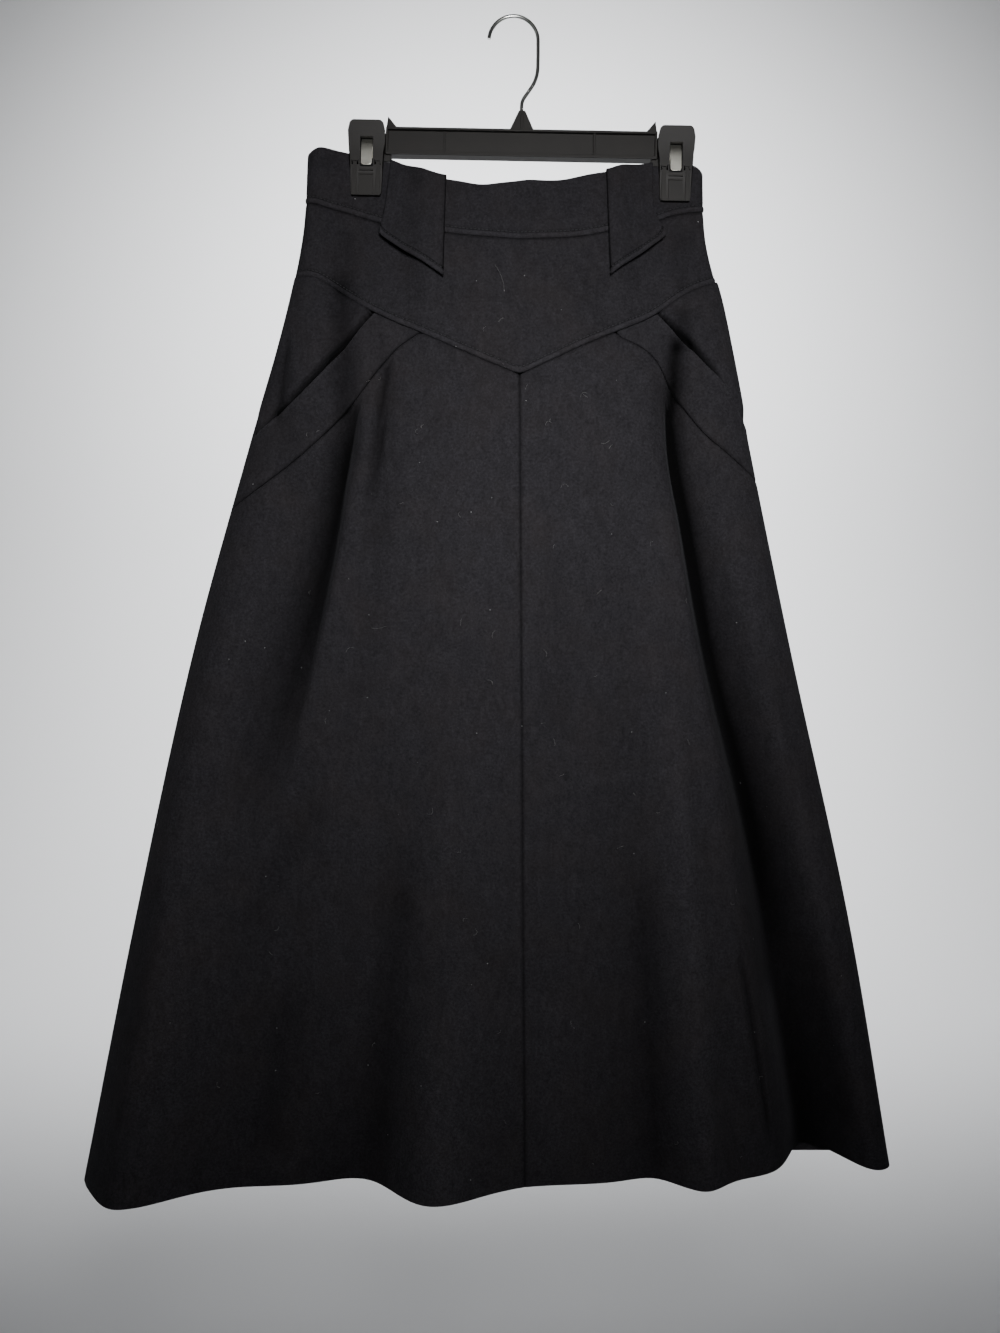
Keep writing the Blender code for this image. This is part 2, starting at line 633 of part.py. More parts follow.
def make_hanger(plastic):
    """The bar with its flanges, ribs and boss, the back jaws moulded on it, and the two front jaws."""
    half, web, flange = BAR_HEIGHT / 2, BAR_WEB / 2, BAR_FLANGE / 2
    body = box("hanger_body", -BAR_HALF, BAR_HALF, -web, web, -half, half, plastic)
    boss_top = half + BOSS_HIGH
    boss = [(-BOSS_HALF, half - 1), (BOSS_HALF, half - 1), (BOSS_TIP, boss_top), (-BOSS_TIP, boss_top)]
    top, foot = (half - TOP_FLANGE, half + PROUD), (-half - PROUD, -half + FOOT_FLANGE)
    pieces = [
        box("top_flange", -BAR_HALF, BAR_HALF, -flange, flange, *top, plastic),
        box("foot_flange", -BAR_HALF, BAR_HALF, -flange, flange, *foot, plastic),
        prism("boss", boss, -BOSS_DEPTH, BOSS_DEPTH, "Y", plastic),
        box("ridge", -RIDGE_HALF, RIDGE_HALF, -RIDGE_DEPTH, RIDGE_DEPTH, half, half + RIDGE_HIGH, plastic),
    ]
    for x in RIB_AT:
        pieces.append(box("rib", x - RIB_HALF, x + RIB_HALF, -RIB_DEPTH, RIB_DEPTH, -half, half, plastic))
    for sign in (-1, 1):
        end, tip = sign * BAR_HALF, sign * (BAR_HALF - GUSSET_TIP)
        wall = sorted((sign * (BAR_HALF - END_WALL), end + sign * PROUD / 2))
        height = -half - PROUD / 2, half + PROUD / 2
        pieces.append(box("end_wall", *wall, -END_DEPTH, END_DEPTH, *height, plastic))
        gusset = [(end, half - 1), (sign * (BAR_HALF - GUSSET_LONG), half - 1), (tip, half + GUSSET_HIGH)]
        pieces.append(prism("gusset", gusset, -GUSSET_DEPTH, GUSSET_DEPTH, "Y", plastic))
        neck = sorted((sign * (BAR_HALF - NECK_INSIDE), sign * (BAR_HALF + NECK_OUTSIDE)))
        pieces.append(box("neck", *neck, *NECK_Y, *NECK_Z, plastic))
        pieces.append(make_jaw("back_jaw", 1, sign * CLIP_AT, plastic))
    combine(body, pieces, "UNION")
    body.matrix_world = hanger_place()
    for sign, name in ((-1, "clip_left"), (1, "clip_right")):
        jaw = make_jaw(name, -1, sign * CLIP_AT, plastic)
        jaw.matrix_world = hanger_place()


def make_spring(name, x, steel):
    """Steel strap bent over the pivot, a leg in the window of each jaw."""
    path = SPRING_PATH + [(-y, z) for y, z in reversed(SPRING_PATH[:-1])]
    line = [Vector(p) for p in path]
    inner, outer = [], []
    for i, p in enumerate(line):
        along = (line[min(i + 1, len(line) - 1)] - line[max(i - 1, 0)]).normalized()
        side = Vector((-along.y, along.x)) * SPRING_THICK / 2
        outer.append(tuple(p + side))
        inner.append(tuple(p - side))
    half = SPRING_WIDTH / 2
    spring = prism(name, outer + inner[::-1], x - half, x + half, "X", steel)
    spring.matrix_world = hanger_place()


def make_hook(wire):
    """The bent wire that hangs the whole from a rail, down to the boss."""
    cx, cz = CROWN_CENTRE
    angles = np.radians(np.linspace(*CROWN_ARC, CROWN_POINTS))
    points = [(cx + CROWN_RADIUS * np.cos(a), cz + CROWN_RADIUS * np.sin(a)) for a in angles]
    points += HOOK_DROP
    points.append((HOOK_FOOT_X, BAR_CENTRE[1] + BAR_HEIGHT / 2 + BOSS_HIGH + HOOK_GAP))
    curve = bpy.data.curves.new("hook", "CURVE")
    curve.dimensions = "3D"
    curve.bevel_depth = WIRE / 2 * MM
    curve.bevel_resolution = HOOK_SIDES
    curve.use_fill_caps = True
    spline = curve.splines.new("POLY")
    spline.points.add(len(points) - 1)
    for spot, (x, z) in zip(spline.points, points):
        spot.co = (x * MM, 0, z * MM, 1)
    curve.materials.append(wire)
    hook = bpy.data.objects.new("hook", curve)
    bpy.context.collection.objects.link(hook)


for old in list(bpy.data.objects):
    bpy.data.objects.remove(old)

wool = material("black_wool", (0.018, 0.018, 0.020), 0.95)
tape = material("zip_tape", (0.012, 0.012, 0.012), 0.8)
horn = material("button_black", (0.02, 0.018, 0.016), 0.35)
plastic = material("hanger_plastic", (0.030, 0.026, 0.023), 0.45)
steel = material("spring_steel", (0.72, 0.72, 0.70), 0.3, 1.0)

make_upper_front(wool)
for side, word in ((-1, "left"), (1, "right")):
    make_front("front_" + word, side, wool)
    make_pocket_band("pocket_band_" + word, side, wool)
    make_hip("hip_" + word, side, wool)
    columns = make_back("back_" + word, side, wool)
    make_back_waistband("waistband_back_" + word, side, columns, wool)
    make_tab("tab_" + word, side, wool)
make_lap(wool)
make_zip(tape)
make_button(horn)
make_hanger(plastic)
make_spring("spring_left", -CLIP_AT, steel)
make_spring("spring_right", CLIP_AT, steel)
make_hook(steel)
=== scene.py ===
import math
import random
from collections import namedtuple

import bmesh
import bpy
import numpy as np
from mathutils import Matrix, Vector


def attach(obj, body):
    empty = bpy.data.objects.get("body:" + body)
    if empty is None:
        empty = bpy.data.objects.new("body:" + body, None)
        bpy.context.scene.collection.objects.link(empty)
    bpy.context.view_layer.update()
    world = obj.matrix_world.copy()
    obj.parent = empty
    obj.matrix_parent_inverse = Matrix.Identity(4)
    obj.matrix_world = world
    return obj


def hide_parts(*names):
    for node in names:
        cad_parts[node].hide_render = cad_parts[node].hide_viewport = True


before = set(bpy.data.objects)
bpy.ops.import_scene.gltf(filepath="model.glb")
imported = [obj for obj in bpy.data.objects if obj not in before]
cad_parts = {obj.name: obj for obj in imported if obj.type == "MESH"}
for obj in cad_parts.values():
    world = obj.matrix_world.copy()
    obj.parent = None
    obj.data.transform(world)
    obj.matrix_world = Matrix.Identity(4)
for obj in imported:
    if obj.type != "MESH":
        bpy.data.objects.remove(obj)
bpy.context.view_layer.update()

MM = 0.001


# Camera and room
# The skirt was photographed square on, from about a metre in front of the hanger. The room is a pale
# paper that sweeps up far behind it, lit on its own, with soft lamps in front of and beside the skirt.
def linear(hex_colour):
    """sRGB hex to the linear values that Blender's sockets take."""
    parts = [int(hex_colour[i:i + 2], 16) / 255 for i in (1, 3, 5)]
    return [c / 12.92 if c <= 0.04045 else ((c + 0.055) / 1.055) ** 2.4 for c in parts] + [1.0]


def new_material(name, **shader_values):
    """A material, its tree and its Principled shader, whose plain sockets are set by name."""
    material = bpy.data.materials.new(name)
    material.use_nodes = True
    shader = material.node_tree.nodes["Principled BSDF"]
    for key, value in shader_values.items():
        shader.inputs[key.replace("_", " ")].default_value = value
    return material, material.node_tree, shader


def linked(name, data):
    """A new object in the scene."""
    made = bpy.data.objects.new(name, data)
    bpy.context.collection.objects.link(made)
    return made


def object_from(bm, name, material=None, smooth=True):
    """An object made from a bmesh, which is then freed."""
    mesh = bpy.data.meshes.new(name)
    bm.to_mesh(mesh)
    bm.free()
    if smooth:
        mesh.shade_smooth()
    if material:
        mesh.materials.append(material)
    return linked(name, mesh)


CAMERA_PLACE, LENS = (-0.0106, -0.95, -0.5757), 28.9
camera_data = bpy.data.cameras.new("camera")
camera_data.lens = LENS
camera = linked("camera", camera_data)
camera.location = CAMERA_PLACE
camera.rotation_euler = (math.radians(90), 0, 0)
bpy.context.scene.camera = camera

FLOOR_Z, PAPER_TOP, ROOM_HALF, ROOM_FRONT = -1.32, 3.5, 4.0, -3.5
BACKDROP_Y, SWEEP_RADIUS, SWEEP_STEPS = 2.6, 1.3, 12
profile = [(ROOM_FRONT, FLOOR_Z)]
for angle in np.radians(np.linspace(0, 90, SWEEP_STEPS + 1)):
    profile.append((
        BACKDROP_Y - SWEEP_RADIUS * (1 - math.sin(angle)),
        FLOOR_Z + SWEEP_RADIUS * (1 - math.cos(angle)),
    ))
profile.append((BACKDROP_Y, PAPER_TOP))
room = bmesh.new()
line = [room.verts.new((-ROOM_HALF, y, z)) for y, z in profile]
sweep = [room.edges.new(pair) for pair in zip(line, line[1:])]
pulled = bmesh.ops.extrude_edge_only(room, edges=sweep)["geom"]
far = [v for v in pulled if isinstance(v, bmesh.types.BMVert)]
bmesh.ops.translate(room, vec=(2 * ROOM_HALF, 0, 0), verts=far)
paper = new_material("backdrop_paper", Base_Color=linear("#d3d4d6"), Roughness=0.9)[0]
object_from(room, "studio_sweep", paper)

Lamp = namedtuple("Lamp", "name place aim size power spread")
LAMPS = [
    Lamp("key", (0.09, -1.05, -0.24), (0.02, 0.0, -0.43), 0.35, 3.85, 75),
    Lamp("fill", (-1.3, -1.6, 0.5), (0.0, 0.0, -0.2), 1.0, 0.5, 120),
    Lamp("rim", (-1.5, 0.7, 0.3), (0.0, 0.0, -0.5), 1.2, 0.8, 180),
    Lamp("backdrop", (0.0, 0.6, 1.0), (0.0, 2.6, -0.1), 1.6, 116, 130),
]
for lamp in LAMPS:
    data = bpy.data.lights.new(lamp.name, "AREA")
    data.shape = "DISK"
    data.size = lamp.size
    data.energy = lamp.power
    data.spread = math.radians(lamp.spread)
    light = linked(lamp.name, data)
    light.location = lamp.place
    light.rotation_euler = (Vector(lamp.aim) - Vector(lamp.place)).to_track_quat("-Z", "Y").to_euler()

world = bpy.data.worlds.new("studio")
world.use_nodes = True
world.node_tree.nodes["Background"].inputs["Color"].default_value = linear("#e6e8ea")
world.node_tree.nodes["Background"].inputs["Strength"].default_value = 0.045
bpy.context.scene.world = world


# Waistband
# A shaped band of heavy black wool, doubled over at its top edge and sewn on above the yoke. Its seam is
# pressed up and topstitched, and its two back ends lap and button at the centre back. It is the first
# piece of cloth, so the wool and the fall that all the cloth shares come first.

# The wool is melton, felted and 2 mm thick, milled until the weave is hidden under a short nap. It takes
# light softly and holds grey lint. Shade and light are painted into its colour: each mesh keeps a painted
# shade as "relief", from -1 to 1, dark where the cloth sinks in and pale where it stands up.
WOOL_DARK, WOOL_LIGHT, WOOL_BROWN, LINT_GREY = "#19181a", "#29282b", "#252120", "#8f8f90"
NAP_MM, FELT_MM, MOTTLE_MM, STREAK_MM, STREAK_LONG = 0.7, 2.1, 42.0, 7.0, 2.2
# How far the painted shade darkens sunk cloth and the painted highlight lightens raised cloth
SUNK_SHADE, RAISED_SHADE = 0.06, 1.94
LINT_CELL_MM, LINT_MM, LINT_SHARE = 15.0, 0.36, 0.5


def add_node(tree, kind, inputs=None, **fields):
    """Adds a node, sets its fields, and fills or links its inputs."""
    made = tree.nodes.new(kind)
    for key, value in fields.items():
        setattr(made, key, value)
    for key, value in (inputs or {}).items():
        if isinstance(value, bpy.types.NodeSocket):
            tree.links.new(value, made.inputs[key])
        else:
            made.inputs[key].default_value = value
    return made


def placed(tree):
    """The object's own coordinates."""
    return add_node(tree, "ShaderNodeTexCoord").outputs["Object"]


def noise(tree, size_mm, place=None, **values):
    """A noise whose features are this many millimetres across."""
    inputs = {"Vector": place or placed(tree), "Scale": 1000.0 / size_mm, **values}
    return add_node(tree, "ShaderNodeTexNoise", inputs).outputs["Fac"]


def remapped(tree, value, start=0.0, end=1.0, low=0.0, high=1.0):
    """Takes start to end of a value to low to high."""
    inputs = {"Value": value, "From Min": start, "From Max": end, "To Min": low, "To Max": high}
    return add_node(tree, "ShaderNodeMapRange", inputs).outputs["Result"]


def worked(tree, operation, *values):
    """One step of arithmetic."""
    return add_node(tree, "ShaderNodeMath", dict(enumerate(values)), operation=operation).outputs[0]


def mixed(tree, factor, a, b):
    """A colour between two others, each a socket or a hex."""
    a, b = (linear(c) if isinstance(c, str) else c for c in (a, b))
    inputs = {"Factor": factor, "A": a, "B": b}
    return add_node(tree, "ShaderNodeMix", inputs, data_type="RGBA").outputs["Result"]


def bumped(tree, height, strength, deep_mm):
    """The normal of a surface this rough."""
    inputs = {"Height": height, "Strength": strength, "Distance": deep_mm * MM}
    return add_node(tree, "ShaderNodeBump", inputs).outputs["Normal"]


def feed(tree, shader, **outputs):
    """Links outputs to the shader's sockets by name."""
    for key, output in outputs.items():
        tree.links.new(output, shader.inputs[key.replace("_", " ")])


wool, tree, shader = new_material(
    "wool_melton_black", Roughness=0.93, IOR=1.5, Specular_IOR_Level=0.05,
    Sheen_Weight=0.035, Sheen_Roughness=0.5, Sheen_Tint=linear("#c0c0c8"),
)
place = placed(tree)
nap = noise(tree, NAP_MM, place, Detail=5.0, Roughness=0.68)
felt = noise(tree, FELT_MM, place, Detail=3.0, Roughness=0.6)
mottle = noise(tree, MOTTLE_MM, place, Detail=2.0)
dye = mixed(tree, remapped(tree, worked(tree, "MULTIPLY", nap, felt), 0.14, 0.40), WOOL_DARK, WOOL_LIGHT)
warm = mixed(tree, remapped(tree, mottle, 0.42, 0.78, high=0.28), dye, WOOL_BROWN)
drawn = add_node(
    tree, "ShaderNodeVectorMath", {0: place, 1: (1.0, 1.0, 1.0 / STREAK_LONG)}, operation="MULTIPLY",
)
streak = noise(tree, STREAK_MM, drawn.outputs["Vector"], Detail=2.0)
# Painted shade and painted highlight, read from each mesh's relief and laid over the dye, streaks and mottle
painted_relief_shade = add_node(tree, "ShaderNodeAttribute", attribute_name="relief").outputs["Fac"]
pressed = remapped(tree, painted_relief_shade, -1.0, 1.0, SUNK_SHADE, RAISED_SHADE)
shade = worked(tree, "MULTIPLY", pressed, remapped(tree, streak, 0.3, 0.7, 0.89, 1.11))
dye_with_painted_shade = add_node(tree, "ShaderNodeVectorMath", {0: warm, "Scale": shade}, operation="SCALE").outputs["Vector"]
cells = add_node(
    tree, "ShaderNodeTexVoronoi", {"Vector": place, "Scale": 1000.0 / LINT_CELL_MM, "Randomness": 1.0},
)
speck = worked(tree, "LESS_THAN", cells.outputs["Distance"], LINT_MM / LINT_CELL_MM)
pick = add_node(tree, "ShaderNodeSeparateColor", {"Color": cells.outputs["Color"]}).outputs["Red"]
specks = worked(tree, "MULTIPLY", speck, worked(tree, "GREATER_THAN", pick, LINT_SHARE))
rough = worked(tree, "MULTIPLY_ADD", nap, 0.6, felt)
feed(tree, shader, Base_Color=mixed(tree, specks, dye_with_painted_shade, LINT_GREY), Normal=bumped(tree, rough, 0.55, 0.6))


def through(xs, ys):
    """Smooth curve through the points that never swings past them."""
    xs, ys = np.array(xs, float), np.array(ys, float)
    if xs[0] > xs[-1]:
        xs, ys = xs[::-1], ys[::-1]
    step = np.diff(xs)
    slope = np.diff(ys) / step
    m = np.concatenate([[slope[0]], (slope[:-1] + slope[1:]) / 2, [slope[-1]]])
    m[1:-1][slope[:-1] * slope[1:] <= 0] = 0
    limit = 3 * np.minimum(np.abs(slope[:-1]), np.abs(slope[1:]))
    m[1:-1] = np.clip(m[1:-1], -limit, limit)

    def curve(x):
        x = np.clip(x, xs[0], xs[-1])
        i = np.clip(np.searchsorted(xs, x) - 1, 0, len(step) - 1)
        h = step[i]
        t = (x - xs[i]) / h
        return (
            (1 + 2 * t) * (1 - t) ** 2 * ys[i]
            + t * (1 - t) ** 2 * h * m[i]
            + t * t * (3 - 2 * t) * ys[i + 1]
            + t * t * (t - 1) * h * m[i + 1]
        )

    return curve


def smoothstep(t):
    t = np.clip(t, 0, 1)
    return t * t * (3 - 2 * t)


def curves(rows):
    """A curve over z for each column of a table."""
    columns = list(zip(*rows))
    return {field: through(columns[0], column) for field, column in zip(rows[0]._fields, columns)}


# The skirt hangs as a flattened tube between its front and back layers. These tables follow it from
# the waist to the hem: the middle, the two outer edges, and every fold, in millimetres.
WALL = 2.0
LEFT, RIGHT = -1, 1
SIDE_WORDS = ((LEFT, "left"), (RIGHT, "right"))
LEFT_SEAM_TURN = 0.10  # how far the left side seam lies on the front, as the hanging skirt has turned
BACK_DROP = 4.0
BAR_X, CLIP_AT, JAW_HALF = 8.4, 136.5, 2.9
# The clips press the layers flat out to PINCH_FLAT from their middles and down to PINCH_FOOT
PINCH_FLAT, PINCH_FALL = 29.0, 24.0
PINCH_FOOT, PINCH_FADE = -166.0, -310.0
FOLD_LEAD, PLEAT_LEAD = 45.0, 7.0  # the length over which a fold or a pleat fades in and out

Centre = namedtuple("Centre", "z x front back")
CENTRE = curves([
    Centre(-118, 5.5, -14, 12),
    Centre(-190, 5.5, -21, 16),
    Centre(-260, 6.0, -28, 19),
    Centre(-390, 6.5, -35, 22),
    Centre(-560, 7.5, -40, 24),
    Centre(-800, 9.0, -42, 25),
    Centre(-1020, 10.6, -40, 26),
])
Edge = namedtuple("Edge", "z x y front back turn")
SIDES = {
    LEFT: curves([
        Edge(-118, -181, 0, -9, 8, 22),
        Edge(-190, -185, 0, -11, 10, 26),
        Edge(-260, -199, 0, -13, 13, 30),
        Edge(-390, -235, -2, -18, 17, 36),
        Edge(-560, -280, -6, -25, 20, 42),
        Edge(-800, -330, -13, -32, 22, 46),
        Edge(-1020, -371, -20, -38, 24, 48),
    ]),
    RIGHT: curves([
        Edge(-118, 169, 0, -5, 5, 3.6),
        Edge(-190, 171, 0, -6, 6, 7),
        Edge(-260, 187, 0, -11, 12, 24),
        Edge(-390, 212, -1, -17, 16, 34),
        Edge(-560, 246, -3, -22, 20, 38),
        Edge(-800, 297, -6, -22, 22, 38),
        Edge(-1020, 333, -8, -20, 23, 36),
    ]),
}
# Share of the way from the centre to the edge, and height, along each seam line of the front
TABLES = {
    LEFT: {
        "top": [(0, -153), (.34, -149), (.61, -129), (.82, -120), (.93, -116), (1, -121)],
        "waist": [(0, -205), (.35, -198), (.67, -182), (.85, -172), (1, -166)],
        "yoke": [(0, -325), (.3, -297), (.62, -266), (.88, -236), (1, -232)],
        "opening": [(.612, -267), (.667, -284), (.784, -323), (.882, -350), (1, -375)],
        "band": [(.404, -287), (.507, -305), (.621, -344), (.727, -378), (.878, -415), (1, -439)],
    },
    RIGHT: {
        "top": [(0, -153), (.467, -143), (.578, -137), (.745, -132), (.94, -131), (1, -137)],
        "waist": [(0, -205), (.35, -201), (.67, -186), (.85, -176), (1, -173)],
        "yoke": [(0, -325), (.3, -298), (.62, -272), (.83, -248), (1, -236)],
        "opening": [(.661, -268), (.766, -294), (.847, -313), (.926, -330), (1, -365)],
        "band": [(.447, -289), (.625, -312), (.713, -349), (.788, -373), (.87, -389), (1, -413)],
    },
}
LINES = {
    side: {name: through(*zip(*points)) for name, points in table.items()}
    for side, table in TABLES.items()
}
# x, z and rise at the top, middle and foot of each fold, then the widths of its two slopes
Fold = namedtuple("Fold", "name x z rise left right")
FRONT_FOLDS = [
    Fold("left corner ridge", (-232, -282, -324), (-430, -700, -1020), (2, 16, 40), (26, 42), (30, 54)),
    Fold("over the pleat", (-150, -146, -140), (-190, -280, -390), (-2, -4, -4), (18, 18), (18, 14)),
    Fold("left pleat", (-140, -172, -231), (-385, -510, -690), (-9, -10, -5), (24, 30), (7, 16)),
    Fold("short pleat", (-111, -116, -145), (-326, -430, -640), (-4, -5, -2), (8, 12), (12, 16)),
    Fold("left valley", (-85, -76, -128), (-640, -780, -1020), (-2, -8, -17), (26, 40), (24, 34)),
    Fold("left ridge", (-52, -60, -68), (-640, -850, -1020), (3, 16, 38), (34, 42), (40, 54)),
    Fold("right valley", (97, 101, 118), (-420, -700, -1020), (-3, -6, -9), (30, 28), (26, 20)),
    Fold("right ridge", (114, 140, 163), (-470, -740, -1020), (3, 8, 19), (24, 24), (18, 22)),
    Fold("start of the deep fold", (142, 138, 136), (-300, -350, -410), (-2, -5, -4), (18, 15), (18, 17)),
    Fold("deep fold", (134, 206, 266), (-345, -680, -1020), (-5, -27, -48), (13, 24), (18, 38)),
    Fold("outer ridge", (190, 262, 314), (-480, -780, -1020), (3, 6, 10), (20, 22), (22, 26)),
]
BACK_FOLDS = [
    Fold("left hollow", (-150, -205, -262), (-420, -700, -1020), (-4, -9, -15), (34, 46), (30, 42)),
    Fold("inner left hollow", (-70, -88, -105), (-520, -760, -1020), (-3, -7, -12), (26, 34), (30, 40)),
    Fold("inner right hollow", (70, 84, 96), (-480, -740, -1020), (-3, -8, -14), (28, 38), (26, 34)),
    Fold("right hollow", (150, 160, 182), (-430, -700, -1020), (-4, -8, -12), (26, 30), (24, 26)),
]
# The upper ends of the pleats, where the middle of the front stands proud in a steep edge and the cloth
# beside it sinks behind, where it is also painted dark, a painted shade
PLEATS = [
    Fold(
        "left pleat's edge", (-134, -142, -151, -174, -207), (-354, -390, -459, -570, -708),
        (-4.5, -6.2, -6.8, -5, 0), (12, 36), (1.8, 6),
    ),
    Fold(
        "short pleat's edge", (-108, -111, -114, -122), (-318, -349, -386, -442),
        (-4.2, -6, -4.8, -1.4), (4, 8), (1.6, 3),
    ),
    Fold(
        "deep fold's edge", (135, 137, 146, 168, 204, 237), (-354, -390, -446, -570, -708, -845),
        (-8, -12, -12, -8, -5, 0), (1.8, 8), (8, 22),
    ),
]
# Smaller creases, each a straight soft trough or ridge between two places, painted darker in a trough and
# paler on a ridge
Crease = namedtuple("Crease", "x0 z0 x1 z1 rise width")
FRONT_CREASES = [
    Crease(-151, -232, -146, -356, -3.8, 10),
    Crease(-146, -190, -150, -250, -1.6, 11),
    Crease(-195, -290, -205, -362, -3.4, 3.5),
    Crease(149, -190, 150, -250, -1.2, 9),
    Crease(150, -262, 149, -300, -3.6, 8),
    Crease(-96, -740, -116, -1015, -2.4, 14),
    Crease(-56, -700, -80, -850, 1.6, 13),
    Crease(-80, -850, -56, -1010, 1.4, 14),
    Crease(112, -760, 125, -1015, -2.8, 12),
    Crease(141, -640, 152, -790, 2.0, 9),
    Crease(156, -800, 168, -1000, 2.4, 11),
    Crease(198, -830, 222, -980, -4.0, 3.5),
    Crease(222, -860, 246, -990, 4.0, 9),
    Crease(262, -820, 296, -985, -1.8, 10),
    Crease(143, -292, 140, -352, -7.0, 6),
    Crease(-108, -441, -129, -480, -1.2, 3),
    Crease(-95, -770, -70, -850, -1.6, 9),
    Crease(-62, -750, 2, -860, -1.3, 10),
    Crease(-165, -690, -230, -800, -1.5, 12),
    Crease(14, -684, 58, -679, 1.3, 3),
    Crease(58, -679, 98, -668, 1.2, 3),
    Crease(98, -668, 138, -669, 1.4, 3),
    Crease(-276, -668, -240, -654, 1.2, 3.5),
    Crease(-205, -300, -190, -420, -1.4, 14),
    Crease(60, -220, 78, -300, -0.9, 14),
    Crease(-40, -400, -30, -560, 0.8, 16),
    Crease(40, -480, 36, -640, -0.8, 18),
    Crease(-190, -860, -214, -990, -2.0, 18),
    Crease(30, -860, 40, -1010, 1.8, 20),
    Crease(220, -560, 262, -700, -1.6, 10),
    Crease(-300, -760, -322, -900, -1.4, 12),
]
BACK_CREASES = [
    Crease(-120, -240, -150, -380, -1.6, 16),
    Crease(130, -250, 152, -400, -1.4, 15),
    Crease(-40, -330, -30, -520, 1.0, 18),
    Crease(60, -640, 20, -700, 0.8, 7),
    Crease(-220, -560, -250, -700, -1.6, 14),
    Crease(200, -520, 236, -660, -1.5, 14),
    Crease(-180, -720, -150, -860, 1.4, 16),
    Crease(120, -860, 140, -990, -1.6, 16),
]


def fold_rise(folds, x, z, lead=FOLD_LEAD):
    """How far the folds lift the cloth off its layer."""
    total = np.zeros(np.broadcast(x, z).shape)
    for fold in folds:
        top, foot = fold.z[0], fold.z[-1]
        path = through(fold.z, fold.x)(z)
        along = np.clip((top - z) / (top - foot), 0, 1)
        width = np.where(
            x < path,
            fold.left[0] + (fold.left[1] - fold.left[0]) * along,
            fold.right[0] + (fold.right[1] - fold.right[0]) * along,
        )
        ends = smoothstep((top + lead - z) / lead) * smoothstep((z - foot + lead) / lead)
        total += through(fold.z, fold.rise)(z) * np.exp(-(((x - path) / width) ** 2)) * ends
    return total


def crease_rise(creases, x, z):
    """How far the creases lift it. Each fades over an eighth of its length inside and outside its ends."""
    total = np.zeros(np.broadcast(x, z).shape)
    for c in creases:
        length = math.hypot(c.x1 - c.x0, c.z1 - c.z0)
        ux, uz = (c.x1 - c.x0) / length, (c.z1 - c.z0) / length
        along = ((x - c.x0) * ux + (z - c.z0) * uz) / length
        across = (x - c.x0) * uz - (z - c.z0) * ux
        ends = smoothstep(along * 4 + 0.5) * smoothstep(4.5 - along * 4)
        total += c.rise * np.exp(-((across / c.width) ** 2)) * ends
    return total


def pinch(x, z):
    """How far the clips hold the cloth flat, from 0 to 1."""
    near = np.minimum(np.abs(x - BAR_X + CLIP_AT), np.abs(x - BAR_X - CLIP_AT))
    down = smoothstep((z - PINCH_FADE) / (PINCH_FOOT - PINCH_FADE))
    return smoothstep(1 - (near - PINCH_FLAT) / PINCH_FALL) * down


def share(w):
    """Share of the way from the centre to the edge, for w from 0 to 1 on the front, 1 to 2 behind."""
    a = 1 - np.abs(1 - w)
    return a * (2 - a)


def w_at(g):
    """The w on the front at a share of the way."""
    return 1 - np.sqrt(1 - np.clip(g, 0, 1))


def cloth(side, w, z):
    """Point of the cloth's outer face, in millimetres."""
    side, w, z = np.broadcast_arrays(side, w, z)
    edge = {f: np.where(side < 0, SIDES[LEFT][f](z), SIDES[RIGHT][f](z)) for f in Edge._fields[1:]}
    g = share(w)
    middle = CENTRE["x"](z)
    x = middle + (edge["x"] - middle) * g
    inside = np.abs(edge["x"] - middle) * (1 - g)
    front = CENTRE["front"](z) + (edge["front"] - CENTRE["front"](z)) * g * g
    back = CENTRE["back"](z) + (edge["back"] - CENTRE["back"](z)) * g * g
    front_layer = front - fold_rise(FRONT_FOLDS, x, z) - crease_rise(FRONT_CREASES, x, z)
    front_layer = front_layer - fold_rise(PLEATS, x, z, PLEAT_LEAD)
    back_layer = back + fold_rise(BACK_FOLDS, x, z) + crease_rise(BACK_CREASES, x, z)
    layer = np.where(w <= 1, front_layer, back_layer)
    held = np.where(w <= 1, -JAW_HALF, JAW_HALF)
    layer = layer + (held - layer) * pinch(x, z)
    turn = np.clip(inside / edge["turn"], 0, 1)
    y = edge["y"] + (layer - edge["y"]) * np.sqrt(1 - (1 - turn) ** 2)
    return np.stack([x, y, z * np.ones_like(x)], axis=-1)


def outward(side, w, z):
    """Direction out of the cloth."""
    dw, dz = 0.004, 1.0
    along = cloth(side, w + dw, z) - cloth(side, w - dw, z)
    up = cloth(side, w, z + dz) - cloth(side, w, z - dz)
    n = np.cross(along, up) * np.asarray(side)[..., None]
    return n / np.linalg.norm(n, axis=-1, keepdims=True)


def line_at(name, side, w):
    """Height of a seam line."""
    g = share(np.asarray(w, float))
    return np.where(np.asarray(side) < 0, LINES[LEFT][name](g), LINES[RIGHT][name](g))


def spaced(w0, w1, cells):
    """Columns from w0 to w1 that crowd together where the cloth turns."""
    crowd = 0.75
    t0, t1 = (1 - (1 - w) ** (1 / crowd) for w in (w0, w1))
    return 1 - (1 - np.linspace(t0, t1, cells + 1)) ** crowd


def seam_w(side):
    """Where a side seam runs."""
    return 1 - LEFT_SEAM_TURN if side < 0 else 1.0


def both(left, right):
    """The columns of the two sides in one row, and the side of each."""
    side = np.concatenate([-np.ones(len(left) - 1), np.ones(len(right))])
    return side, np.concatenate([left[::-1][:-1], right])


